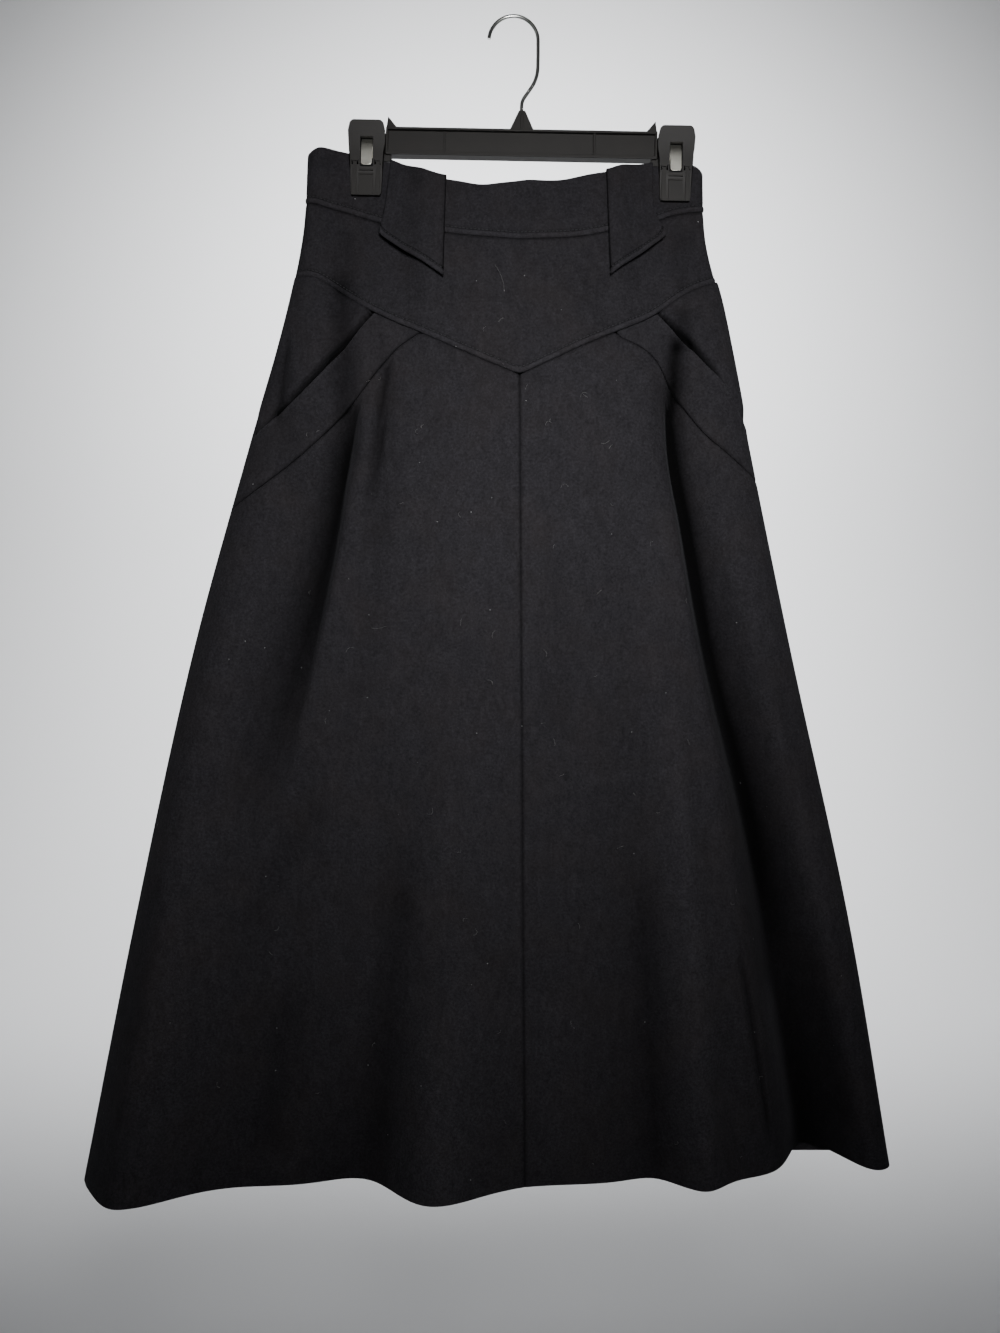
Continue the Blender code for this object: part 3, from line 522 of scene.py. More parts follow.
def rows_between(top, foot, cells, at_top=(), at_foot=()):
    """Heights from one line to another, with rows at given distances from either line."""
    top, foot = np.broadcast_arrays(np.asarray(top, float), np.asarray(foot, float))
    first = [top - d for d in at_top] or [top]
    last = [foot + d for d in reversed(at_foot)] or [foot]
    middle = [first[-1] + (last[0] - first[-1]) * i / cells for i in range(1, cells)]
    return np.array(first + middle + last)


# Seam relief moves the cloth and is painted into its colour: painted shade in the seam and the stitch
# groove, painted highlight on the raised strip
def seam_dip(z, line, depth=0.5, reach=1.5):
    """The cloth rolls in towards a seam."""
    return -depth * np.exp(-(((z - line) / reach) ** 2))


def topstitched(z, line, up=5.6, high=0.7, groove=0.5):
    """A seam allowance pressed up behind the cloth, held by a row of stitches up mm from the seam."""
    d = z - line
    raised = high * smoothstep(d / 1.6) * smoothstep((up + 0.6 - d) / 2.4)
    return raised - groove * np.exp(-(((d - up) / 1.0) ** 2))


def dress(piece, replaced=None):
    """The piece rides the part's one body, and may stand for a solid."""
    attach(piece, "root")
    if replaced:
        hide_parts(replaced)


# How much of the relief is painted into the colour as shade and highlight: sunk cloth all of it, and raised
# cloth and folds less
RAISED_HIGHLIGHT_SHARE, FOLD_PAINTED_LIGHT, FOLD_RIDGE_HIGHLIGHT_SHARE, CREASE_PAINTED_LIGHT = 0.4, 0.02, 0.6, 6.0


def cloth_piece(
    name, replaced, points, outs, relief, folds=0.0, wall=WALL, material=wool, slot="wool", smooth=1,
):
    """A grid laid on rows of points in millimetres, facing the way of outs, then given its wall."""
    rows, columns = points.shape[:2]
    places = points.reshape(-1, 3) * MM
    bm = bmesh.new()
    bmesh.ops.create_grid(bm, x_segments=columns - 1, y_segments=rows - 1, size=0.5)
    for vert, spot in zip(bm.verts, places):
        vert.co = spot
    bm.normal_update()
    bm.faces.ensure_lookup_table()
    middle = bm.faces[len(bm.faces) // 2]
    nearest = np.argmin(np.linalg.norm(places - np.array(middle.calc_center_median()), axis=1))
    if middle.normal.dot(Vector(outs.reshape(-1, 3)[nearest])) < 0:
        bmesh.ops.reverse_faces(bm, faces=bm.faces)
    piece = object_from(bm, name, material)
    # Painted shade and painted highlight: the relief and the folds are kept to darken sunk cloth and hollows
    # and lighten raised cloth and ridges
    painted_shade = np.where(relief > 0, RAISED_HIGHLIGHT_SHARE * relief, relief)
    painted_shade = painted_shade + FOLD_PAINTED_LIGHT * np.where(folds > 0, FOLD_RIDGE_HIGHLIGHT_SHARE * folds, folds)
    kept = piece.data.attributes.new("relief", "FLOAT", "POINT")
    kept.data.foreach_set("value", painted_shade.ravel().astype(np.float32))
    thick = piece.modifiers.new("wall", "SOLIDIFY")
    thick.thickness = wall * MM
    thick.offset = -1.0
    if smooth:
        rounding = piece.modifiers.new("rounding", "SUBSURF")
        rounding.levels = smooth
        rounding.render_levels = smooth
    dress(piece, replaced)
    return piece


def cloth_shell(name, replaced, side, w, z, lift=0.0, forward=0.0, relief=0.0, **options):
    """A piece laid on the fall of the cloth.

    lift moves it out, forward moves it straight to the front, and relief is what is pressed or
    stitched into it, which also moves it out and is painted into its colour as shade and highlight.
    """
    side, w, z = np.broadcast_arrays(side, w, z)
    points, outs = cloth(side, w, z), outward(side, w, z)
    relief = np.broadcast_to(relief, z.shape)
    x = points[..., 0]
    # The folds, and six times as strongly the pleats and creases, are painted into the colour as well:
    # painted shade in their hollows, painted highlight on their ridges
    small = crease_rise(FRONT_CREASES, x, z) + fold_rise(PLEATS, x, z, PLEAT_LEAD)
    folds = np.where(
        w <= 1,
        fold_rise(FRONT_FOLDS, x, z) + CREASE_PAINTED_LIGHT * small,
        fold_rise(BACK_FOLDS, x, z) + CREASE_PAINTED_LIGHT * crease_rise(BACK_CREASES, x, z),
    )
    points = points + outs * (np.broadcast_to(lift, z.shape) + relief)[..., None]
    points[..., 1] -= np.broadcast_to(forward, z.shape)
    return cloth_piece(name, replaced, points, outs, relief, folds=folds, **options)


# Rows at a folded edge, under a seam and above one, in millimetres from it, and a seam's half gap
EDGE_ROWS, UNDER_ROWS, SEAM_ROWS = (0, 0.3, 1.0, 2.2), (0, 1.2, 3.0), (0, 1.2, 3.0, 4.6, 5.8, 7.0, 9.0)
SEAM_HALF = -0.25
FOLD_RADIUS = 2.4
TOP_WAVES = [(-27, 13, -2.6), (11, 12, 2.2), (42, 13, -1.2), (72, 16, 1.6)]  # x, width and height


def folded_edge(z, top):
    """The doubled top edge rolls in over its fold."""
    d = np.clip((top - z) / FOLD_RADIUS, 0, 1)
    return -FOLD_RADIUS * (1 - np.sqrt(1 - (1 - d) ** 2))


band_side, band_w = both(*(spaced(0, seam_w(side), 34) for side in (LEFT, RIGHT)))
band_foot = line_at("waist", band_side, band_w)
band_top = line_at("top", band_side, band_w)
band_x = cloth(band_side, band_w, band_top)[..., 0]
band_top = band_top + sum(high * np.exp(-(((band_x - x) / wide) ** 2)) for x, wide, high in TOP_WAVES)
band_z = rows_between(band_top, band_foot + SEAM_HALF, 9, at_top=EDGE_ROWS, at_foot=SEAM_ROWS)
waistband = cloth_shell(
    "waistband_front_cloth", "waistband_front", band_side, band_w, band_z,
    lift=folded_edge(band_z, band_top), relief=topstitched(band_z, band_foot) + seam_dip(band_z, band_foot),
)

# Neighbours lap a little at the side seams and the centre seams, so that no light shows through
SEAM_LAP, CENTRE_LAP = 0.009, 0.0009
SEAM_COLUMNS = np.array([-SEAM_LAP, 0.014, 0.028, 0.045])


def back_line(name, side, w):
    """Height of a seam line on the back, which sags a little more in the middle."""
    return line_at(name, side, w) - BACK_DROP * (1 - share(w)) * (w > 1)


def back_columns(side, cells):
    """Columns from the side seam round the edge to the centre back."""
    w = 2 - spaced(0, 1, cells)[::-1]
    start = seam_w(side)
    near = start + SEAM_COLUMNS
    round_edge = np.linspace(near[-1], 1, 4)[1:-1] if start < 1 else []
    w = np.concatenate([near, round_edge, w[w > near[-1] + 0.01]])
    w[-1] = 2 + CENTRE_LAP
    return w


for side, word in SIDE_WORDS:
    w = back_columns(side, 26)
    top, foot = back_line("top", side, w), back_line("waist", side, w)
    z = rows_between(top, foot + SEAM_HALF, 7, at_top=EDGE_ROWS, at_foot=SEAM_ROWS)
    piece = cloth_shell(
        f"waistband_back_{word}_cloth", f"waistband_back_{word}", side, w, z,
        lift=folded_edge(z, top), relief=topstitched(z, foot) + seam_dip(z, foot),
    )


# Front yoke
# One piece of the wool across the front, cut to a V. The panels' seam is pressed up behind its lower edge
# and topstitched 6 mm from it, so the edge stands slightly proud of what is below.
yoke_foot = line_at("yoke", band_side, band_w)
yoke_z = rows_between(
    band_foot - SEAM_HALF, yoke_foot + SEAM_HALF, 16, at_top=UNDER_ROWS, at_foot=SEAM_ROWS,
)
yoke = cloth_shell(
    "yoke_front_cloth", "yoke_front", band_side, band_w, yoke_z,
    relief=seam_dip(yoke_z, band_foot) + topstitched(yoke_z, yoke_foot) + seam_dip(yoke_z, yoke_foot),
)


# Hip panels
# The side of the hip above each slanted pocket, in the same wool. It sinks away as it nears the pocket's
# mouth and runs on behind the band, where it is the back of the pocket.
HIP_LAY, HIP_REACH = 1.3, 22.0
SLIT_SINK_AND_SHADE, SLIT_LEAST, SLIT_WIDE, SLIT_SOFT = 1.2, 1.0, 5.0, 2.6
MOUTH_DEEP, MOUTH_WIDE, MOUTH_PEAK = 10.0, 14.5, {LEFT: 0.8, RIGHT: 1.5}
MOUTH_ROWS = np.array([0, 2.0, 4.0, 6.0, 7.6, 9.2, 10.8, 12.4, 14.0, 15.6, 18.0])


def side_seam(side, w, depth=0.5, reach=0.016):
    """The cloth rolls in at the side seam."""
    return -depth * np.exp(-(((w - seam_w(side)) / reach) ** 2))


def with_side(side, w):
    """Ends a row of columns with those close to the side seam."""
    end = seam_w(side)
    return np.concatenate([w[w < end - 0.05], end - SEAM_COLUMNS[::-1]])


for side, word in SIDE_WORDS:
    start = w_at(TABLES[side]["band"][0][0] + 0.03)
    w = with_side(side, spaced(start, seam_w(side), 44))
    top = line_at("yoke", side, w) + 0.3
    mouth_z = np.minimum(line_at("opening", side, w), top - 1.0)
    above = [np.minimum(d, (top - 3.5 - mouth_z) * i / 11) for i, d in enumerate(MOUTH_ROWS)]
    upper = rows_between(top, mouth_z + above[-1], 16, at_top=UNDER_ROWS)
    near = mouth_z + np.array(above[-2::-1])
    lower = rows_between(mouth_z, line_at("band", side, w) + 1.5, 14)[1:]
    z = np.concatenate([upper, near, lower])
    above = z - line_at("opening", side, w)
    start = TABLES[side]["opening"][0][0]
    along = np.clip((share(w) - start) / (1 - start), 0, 1)
    arch = np.sin(np.pi * along**0.7).clip(0, 1)
    mouth, slit = arch ** MOUTH_PEAK[side], arch**0.3
    wide = SLIT_LEAST + SLIT_WIDE * slit + (MOUTH_WIDE - SLIT_WIDE) * mouth
    inside = smoothstep((wide - above) / SLIT_SOFT)
    sink = -(WALL + HIP_LAY) * smoothstep((HIP_REACH - above) / HIP_REACH) - MOUTH_DEEP * mouth * inside
    # Its relief moves the cloth a little and is painted into its colour: painted shade at its seams and,
    # darkest, a painted shade in the slit along the pocket's mouth
    piece = cloth_shell(
        f"hip_{word}_cloth", f"hip_{word}", side, w, z, lift=sink,
        relief=seam_dip(z, top) + side_seam(side, w) - SLIT_SINK_AND_SHADE * slit * inside,
    )


# Pocket bands
# A straight band of the wool along each slanted pocket, folded at the pocket's mouth and sewn to the
# front panel below. The mouth gapes a little where a hand goes in.
GAPE, BAND_CELLS = {LEFT: 3.6, RIGHT: 4.2}, 60
BAND_ROWS = np.array([0, 0.025, 0.06, 0.15, 0.3, 0.45, 0.6, 0.75, 0.88, 0.95, 0.985, 1.0])


def corner(name, side):
    """Where a seam line starts."""
    return w_at(TABLES[side][name][0][0])


for side, word in SIDE_WORDS:
    start, mouth, end = corner("band", side), corner("opening", side), seam_w(side)
    low, high = spaced(start, end, BAND_CELLS), spaced(mouth, end, BAND_CELLS)
    t = BAND_ROWS[:, None]
    w = low + (high - low) * t
    z_low, z_high = line_at("band", side, low) - 0.3, line_at("opening", side, high)
    z = z_low + (z_high - z_low) * t
    w[:, 0] = start + (mouth - start) * t[:, 0]
    z[:, 0] = line_at("yoke", side, w[:, 0])
    along = np.linspace(0, 1, BAND_CELLS + 1)
    gape = GAPE[side] * t**1.5 * np.sin(np.pi * along**0.6).clip(0, 1)
    rolled = -2.2 * np.clip((t - 0.95) / 0.05, 0, 1) ** 2 + 0 * z
    # The band's relief moves its cloth a little and is painted into its colour: a painted shade along its
    # seam and a painted highlight on its folded top edge
    relief = -0.8 * np.exp(-((t / 0.03) ** 2)) + 0.5 * smoothstep((t - 0.86) / 0.08) + 0 * z
    piece = cloth_shell(
        f"pocket_band_{word}_cloth", f"pocket_band_{word}", side, w[::-1], z[::-1],
        lift=rolled[::-1], forward=gape[::-1], relief=relief[::-1],
    )


# Front panels
# Two flared panels joined down the centre front. Unpressed pleats start under the pocket bands, and the
# cloth falls from them in deep uneven folds to the hem.
HEM_Z, HEM_TILT = -1017.0, -0.006
HEM_LIFT, HEM_LIFT_X, HEM_LIFT_WIDTH = 8.0, 262.0, 45.0
HEM_ROWS = (0, 1.5, 4.0)
PLEAT_W = (0.36, 0.56)


def hem_at(side, w):
    """Height of the hem, a little tilted, and raised in front over the deep fold."""
    x = cloth(side, w, HEM_Z)[..., 0]
    raised = np.where(np.asarray(w) <= 1, HEM_LIFT, 0) * np.exp(-(((x - HEM_LIFT_X) / HEM_LIFT_WIDTH) ** 2))
    return HEM_Z - HEM_TILT * x + raised


def front_columns(side):
    """Columns from the centre seam to the side seam, close together where the pleats are."""
    start = corner("band", side)
    w = np.concatenate([
        [-CENTRE_LAP, 0.0004, 0.0018, 0.004, 0.008],
        spaced(0.013, start, 13),
        spaced(start, PLEAT_W[0], 10)[1:],
        spaced(*PLEAT_W, 46)[1:],
        spaced(PLEAT_W[1], seam_w(side), 24)[1:],
    ])
    return with_side(side, w)


def centre_dip(side, w, z):
    """The cloth rolls in at the centre seam."""
    return seam_dip(cloth(side, w, z)[..., 0], CENTRE["x"](z), depth=0.6, reach=1.3)


for side, word in SIDE_WORDS:
    w = front_columns(side)
    top = np.where(w <= corner("band", side), line_at("yoke", side, w), line_at("band", side, w)) - SEAM_HALF
    z = rows_between(top, hem_at(side, w), 98, at_top=UNDER_ROWS, at_foot=HEM_ROWS)
    dip = centre_dip(side, w, z) + seam_dip(z, top) + side_seam(side, w)
    piece = cloth_shell(f"front_{word}_cloth", f"front_{word}", side, w, z, relief=dip)


# Back panels
# Two flared panels from the waistband to the hem, joined down the centre back over the zip. The photo
# hides them, so they are plain, with folds like the front's.
for side, word in SIDE_WORDS:
    w = back_columns(side, 44)
    top = back_line("waist", side, w) - SEAM_HALF
    z = rows_between(top, hem_at(side, w), 84, at_top=UNDER_ROWS, at_foot=HEM_ROWS)
    dip = np.where(w > 1, centre_dip(side, w, z), 0) + seam_dip(z, top) + side_seam(side, w)
    piece = cloth_shell(f"back_{word}_cloth", f"back_{word}", side, w, z, relief=dip)


# Tabs
# Two pointed tabs of doubled wool, folded over the waistband's top edge and hanging free in front of it.
# Their slanted foot is topstitched 5 mm from the edge, and the lower outer corner is rounded.
TAB_WALL, TAB_GAP, TAB_CORNER, TAB_STAND, TAB_STIFF = 1.9, 1.2, 6.0, 2.5, 0.6
TAB_RISE = 0.4  # the gap over the waistband's top edge
FORWARD, UP = np.array([0, -1.0, 0]), np.array([0, 0, 1.0])
Tab = namedtuple("Tab", "outer_x outer_z inner_x inner_z")
TABS = {
    LEFT: Tab((-107.5, -111.5, -117.5), (-128, -165, -196), (-57, -59), (-147, -240)),
    RIGHT: Tab((124.5, 125.5, 137.0), (-131, -170, -196), (82, 84.5), (-142, -238)),
}


def w_of(side, x, z):
    """The w on the front at a place given by x."""
    middle, edge = CENTRE["x"](z), SIDES[side]["x"](z)
    return w_at((x - middle) / (edge - middle))


def tab_place(side, s, t):
    """Place under a tab, a share s across it from its outer edge and t of the way down.

    The tab is stiff, so it bridges the hollows of the cloth behind it, and its foot stands off it.
    """
    tab = TABS[side]
    outer, inner = through(tab.outer_z, tab.outer_x), through(tab.inner_z, tab.inner_x)
    x_top = tab.outer_x[0] + (tab.inner_x[0] - tab.outer_x[0]) * s
    z_near = tab.outer_z[0] + (tab.inner_z[0] - tab.outer_z[0]) * s
    z_top = line_at("top", side, w_of(side, x_top, z_near))
    foot_width = abs(tab.inner_x[-1] - tab.outer_x[-1])
    rounded = 1 - np.sqrt(1 - np.clip(1 - s * foot_width / TAB_CORNER, 0, 1) ** 2)
    z_foot = tab.outer_z[-1] + (tab.inner_z[-1] - tab.outer_z[-1]) * s + 0.5 * TAB_CORNER * rounded
    z = z_top + (z_foot - z_top) * t
    x = outer(z) + (inner(z) - outer(z)) * s
    y = cloth(side, w_of(side, x, z), z)[..., 1]
    across = np.linspace(0, 1, 21)[:, None]
    z_row = np.atleast_1d(z).mean() + 0 * across
    x_row = outer(z_row) + (inner(z_row) - outer(z_row)) * across
    y_row = cloth(side, w_of(side, x_row, z_row), z_row)[..., 1].ravel()
    straight = np.linspace(y_row[0], y_row[-1], 21)
    stiff = y_row[0] + (y_row[-1] - y_row[0]) * s - max(0.0, float((straight - y_row).max()))
    y = y + TAB_STIFF * (np.minimum(stiff, y) - y) * smoothstep(np.asarray(t) / 0.3)
    stand = TAB_STAND * smoothstep((t - 0.35) / 0.6) * (0.15 + 0.85 * s)
    return np.stack(np.broadcast_arrays(x, y - stand, z), axis=-1), z - z_foot


def tab_relief(d):
    """The foot of the tab is pressed over a seam, and a row of stitches dents it 5 mm in."""
    away = d * 0.8
    rim = 0.7 * np.exp(-(((away - 2.4) / 1.9) ** 2))
    return rim - 0.7 * np.exp(-(((away - 5.0) / 0.9) ** 2)) - 0.3 * np.exp(-((away / 0.8) ** 2))


for side, word in SIDE_WORDS:
    s = np.concatenate([np.linspace(0, 0.16, 9), np.linspace(0.16, 0.97, 21)[1:], [0.985, 1.0]])
    # The side edges roll back a little, and the same values paint a dark line along them, a painted shadow,
    # darkest on the inner edge
    edge_roll_and_shadow = -0.8 * np.exp(-((s / 0.012) ** 2)) - 1.2 * np.exp(-(((1 - s) / 0.022) ** 2))
    skin, relief = [], []
    for t in np.concatenate([np.linspace(1, 0.86, 26), np.linspace(0.86, 0.04, 18)[1:]]):
        p, d = tab_place(side, s, t)
        # The tab's relief is painted into its colour too: a painted highlight on the rim of its foot and
        # painted shade in the stitch dent
        raised = tab_relief(d) + edge_roll_and_shadow
        skin.append(p + FORWARD * (TAB_GAP + TAB_WALL + raised)[:, None])
        relief.append(raised)
    p, d = tab_place(side, s, 0.0)
    reach = (TAB_GAP + TAB_WALL + WALL + TAB_RISE) / 2
    for angle in np.radians(np.linspace(15, 180, 8)):
        over = TAB_GAP + TAB_WALL - reach + reach * math.cos(angle)
        skin.append(p + FORWARD * over + UP * (TAB_RISE + TAB_WALL) * math.sin(angle))
        relief.append(edge_roll_and_shadow)
    skin = np.array(skin)
    piece = cloth_piece(
        f"tab_{word}_cloth", f"tab_{word}", skin, FORWARD + 0 * skin, np.array(relief), wall=TAB_WALL,
    )


# Lap of the waistband
# The right back end of the waistband, the same doubled wool, runs on 24 mm under the left one, where the
# button is sewn.
LAP, LAY = 24.0, 0.4
BACK_MIDDLE = np.array(2.0)


def w_behind(side, x, z):
    """The w on the back at a place given by x."""
    return 2 - w_at((x - CENTRE["x"](z)) / (SIDES[side]["x"](z) - CENTRE["x"](z)))


lap_ends = float(back_line("top", LEFT, BACK_MIDDLE)), float(back_line("waist", LEFT, BACK_MIDDLE))
lap_middle = sum(lap_ends) / 2
lap_w = w_behind(LEFT, float(CENTRE["x"](lap_middle)) - np.linspace(0.5, LAP, 9), lap_middle)
lap_z = rows_between(back_line("top", LEFT, lap_w) - 1.0, back_line("waist", LEFT, lap_w) + 1.0, 12)
lap = cloth_shell("waistband_lap_cloth", "waistband_lap", LEFT, lap_w, lap_z, lift=-WALL - LAY)


# Zip
# A closed lapped zip behind the centre back seam: two woven tapes and a row of moulded teeth. A line of
# stitches 12 mm to the left of the seam holds the lap that covers it.
ZIP_HALF, ZIP_LENGTH, ZIP_THICK, ZIP_DROP = 12.0, 180.0, 1.2, 2.0
TOOTH_PITCH, TOOTH_WIDE, TOOTH_HIGH, TOOTH_SHARE, TEETH_INSET = 2.0, 4.6, 1.2, 0.62, 4.0
WEAVE_MM = 0.9
tape, tree, shader = new_material("zip_tape_woven", Roughness=0.75, Specular_IOR_Level=0.2)
weave = add_node(
    tree, "ShaderNodeTexWave",
    {"Vector": placed(tree), "Scale": 1000.0 / WEAVE_MM / 6.28, "Distortion": 0.6},
    bands_direction="DIAGONAL",
).outputs["Fac"]
feed(tree, shader, Base_Color=mixed(tree, weave, "#0c0c0d", "#1d1d1f"), Normal=bumped(tree, weave, 0.5, 0.3))
zip_top = float(back_line("waist", RIGHT, BACK_MIDDLE)) - ZIP_DROP
zip_middle = float(CENTRE["x"](zip_top))
zip_steps = np.linspace(ZIP_HALF, 0, 5)
zip_side = np.array([LEFT] * 4 + [RIGHT] * 5, float)
zip_w = np.concatenate([
    w_behind(LEFT, zip_middle - zip_steps[:4], zip_top),
    w_behind(RIGHT, zip_middle + zip_steps[::-1], zip_top),
])
zip_z = np.linspace(zip_top, zip_top - ZIP_LENGTH, 60)[:, None] * np.ones(9)
zip_piece = cloth_shell(
    "zip_tape_cloth", "zip_tape", zip_side, zip_w, zip_z, lift=-WALL - LAY,
    wall=ZIP_THICK, material=tape, slot="zip_tape", smooth=0,
)

moulded = new_material("zip_teeth_moulded", Base_Color=linear("#17171a"), Roughness=0.35)[0]
teeth = bmesh.new()
tooth = Matrix.Diagonal((*(Vector((TOOTH_WIDE, TOOTH_HIGH, TOOTH_PITCH * TOOTH_SHARE)) * MM), 1))
behind = WALL + LAY + ZIP_THICK + TOOTH_HIGH / 2 - 0.1
for i in range(int((ZIP_LENGTH - 2 * TEETH_INSET) / TOOTH_PITCH)):
    z = zip_top - TEETH_INSET - i * TOOTH_PITCH
    spot = cloth(RIGHT, 2.0, z) - outward(RIGHT, 2.0, z) * behind
    bmesh.ops.create_cube(teeth, size=1.0, matrix=Matrix.Translation(Vector(spot) * MM) @ tooth)
bmesh.ops.bevel(
    teeth, geom=teeth.edges[:], offset=0.25 * MM, affect="EDGES", segments=1, profile=0.5, material=-1,
)
dress(object_from(teeth, "zip_teeth", moulded, smooth=False))


# Button
# A black four-hole button that closes the lapped end of the back waistband, turned with a raised rim
# and a dished face, sewn on with doubled cotton.
BUTTON_THICK, BUTTON_INSET, BUTTON_DROP = 3.0, 13.0, 24.0
# Radius and height along half of its section
BUTTON_PROFILE = [
    (0, -1.5), (7.4, -1.5), (8.6, -0.9), (9.0, 0.1), (8.7, 1.1), (7.9, 1.5),
    (7.0, 1.2), (5.8, 0.55), (0, 0.4),
]
HOLE_RADIUS, HOLE_AT, HOLE_DEEP = 0.9, 1.7, 6.0
resin, tree, shader = new_material("button_resin_polished", Roughness=0.28, Specular_IOR_Level=0.5)
feed(tree, shader, Base_Color=mixed(tree, noise(tree, 4.0, Distortion=1.4), "#0c0b0b", "#2c2725"))


def turned(profile, steps=32):
    """A closed form turned about Z from a profile of radius and height, in millimetres."""
    bm = bmesh.new()
    line = [bm.verts.new((r * MM, 0, z * MM)) for r, z in profile]
    for a, b in zip(line, line[1:]):
        bm.edges.new((a, b))
    bmesh.ops.spin(
        bm, geom=bm.verts[:] + bm.edges[:], cent=(0, 0, 0), axis=(0, 0, 1), angle=2 * math.pi,
        steps=steps, use_merge=True,
    )
    bmesh.ops.remove_doubles(bm, verts=bm.verts, dist=1e-6)
    bmesh.ops.recalc_face_normals(bm, faces=bm.faces)
    return bm


def cut_away(target, cutter):
    """Cuts an object by another, which is then dropped."""
    change = target.modifiers.new("change", "BOOLEAN")
    change.operation, change.solver, change.object = "DIFFERENCE", "EXACT", cutter
    made = bpy.data.meshes.new_from_object(target.evaluated_get(bpy.context.evaluated_depsgraph_get()))
    target.modifiers.clear()
    target.data = made
    bpy.data.objects.remove(cutter)


button_z = float(back_line("top", LEFT, BACK_MIDDLE)) - BUTTON_DROP
button_w = w_behind(LEFT, float(CENTRE["x"](button_z)) - BUTTON_INSET, button_z)
button_centre, button_out = cloth(LEFT, button_w, button_z), outward(LEFT, button_w, button_z)
button_turn = Vector((0, 0, 1)).rotation_difference(Vector(button_out)).to_matrix().to_4x4()
button_centre = button_centre + button_out * (LAY + BUTTON_THICK / 2)
button_place = Matrix.Translation(Vector(button_centre) * MM) @ button_turn
bm = turned(BUTTON_PROFILE)
bmesh.ops.transform(bm, matrix=button_place, verts=bm.verts)
button = object_from(bm, "button_back", resin)
holes = bmesh.new()
for x, y in ((1, 1), (1, -1), (-1, 1), (-1, -1)):
    bmesh.ops.create_cone(
        holes, cap_ends=True, segments=16, radius1=HOLE_RADIUS * MM, radius2=HOLE_RADIUS * MM,
        depth=HOLE_DEEP * MM,
        matrix=button_place @ Matrix.Translation((x * HOLE_AT * MM, y * HOLE_AT * MM, 0)),
    )
cut_away(button, object_from(holes, "holes", smooth=False))
dress(button, "back_button")


# Topstitching
# Doubled cotton, black like the cloth, in stitches 3.4 mm long that sink into the nap: above the waist
# seam, above the yoke seam, along the feet of the tabs, and beside the zip.
STITCH_PITCH, STITCH_LONG, THREAD_RADIUS, STITCH_UP, TAB_STITCH_UP = 3.4, 2.7, 0.38, 6.0, 6.25
cotton, tree, shader = new_material("topstitch_cotton", Roughness=0.7, Specular_IOR_Level=0.3)
feed(tree, shader, Base_Color=mixed(tree, noise(tree, 0.5, Detail=2.0), "#0d0d0e", "#262629"))
one_stitch = bmesh.new()
bmesh.ops.create_uvsphere(one_stitch, u_segments=6, v_segments=5, radius=1.0)
stitch_form = bpy.data.meshes.new("stitch_form")
one_stitch.to_mesh(stitch_form)
one_stitch.free()
stitches = bmesh.new()


def stitch_row(points, outs, sink=0.1):
    """Stitches along a line of points in millimetres, each sunk a little into the cloth."""
    run = np.concatenate([[0], np.cumsum(np.linalg.norm(np.diff(points, axis=0), axis=1))])
    for start in np.arange(STITCH_PITCH / 2, run[-1] - STITCH_PITCH, STITCH_PITCH):
        ends = [[np.interp(start + k, run, points[:, i]) for i in range(3)] for k in (0, STITCH_LONG)]
        head, tail = np.array(ends)
        n = np.array([np.interp(start + STITCH_LONG / 2, run, outs[:, i]) for i in range(3)])
        along = Vector(tail - head)
        turn = Vector((0, 0, 1)).rotation_difference(along).to_matrix().to_4x4()
        place = Matrix.Translation(Vector((head + tail) / 2 - n * sink) * MM) @ turn
        stretch = Matrix.Diagonal((THREAD_RADIUS, THREAD_RADIUS, along.length / 2, 1)) @ Matrix.Scale(MM, 4)
        copied = stitch_form.copy()
        copied.transform(place @ stretch)
        stitches.from_mesh(copied)
        bpy.data.meshes.remove(copied)


def stitch_cloth(side, w, z, lift=0.0):
    """Stitches along a line on the cloth."""
    points, outs = cloth(side, w, z), outward(side, w, z)
    stitch_row(points + outs * lift, outs)


fine_side, fine_w = both(*(spaced(0, seam_w(side), 120) for side in (LEFT, RIGHT)))
for name in ("waist", "yoke"):
    stitch_cloth(fine_side, fine_w, line_at(name, fine_side, fine_w) + STITCH_UP)
for side in (LEFT, RIGHT):
    w = 2 - spaced(0, 1, 120)[::-1]
    stitch_cloth(side, w, back_line("waist", side, w) + STITCH_UP)
    s = np.linspace(0.02, 1, 90)
    foot, top = tab_place(side, s, 1.0)[0], tab_place(side, s, 0.0)[0]
    p = tab_place(side, s, 1 - TAB_STITCH_UP / (top[:, 2] - foot[:, 2]))[0]
    stitch_row(p + FORWARD * (TAB_GAP + TAB_WALL), FORWARD + 0 * p, sink=0.6)
lap_line = np.linspace(zip_top, zip_top - ZIP_LENGTH, 90)
stitch_cloth(LEFT, w_behind(LEFT, CENTRE["x"](lap_line) - ZIP_HALF, lap_line), lap_line, lift=0.15)
dress(object_from(stitches, "topstitching", cotton))


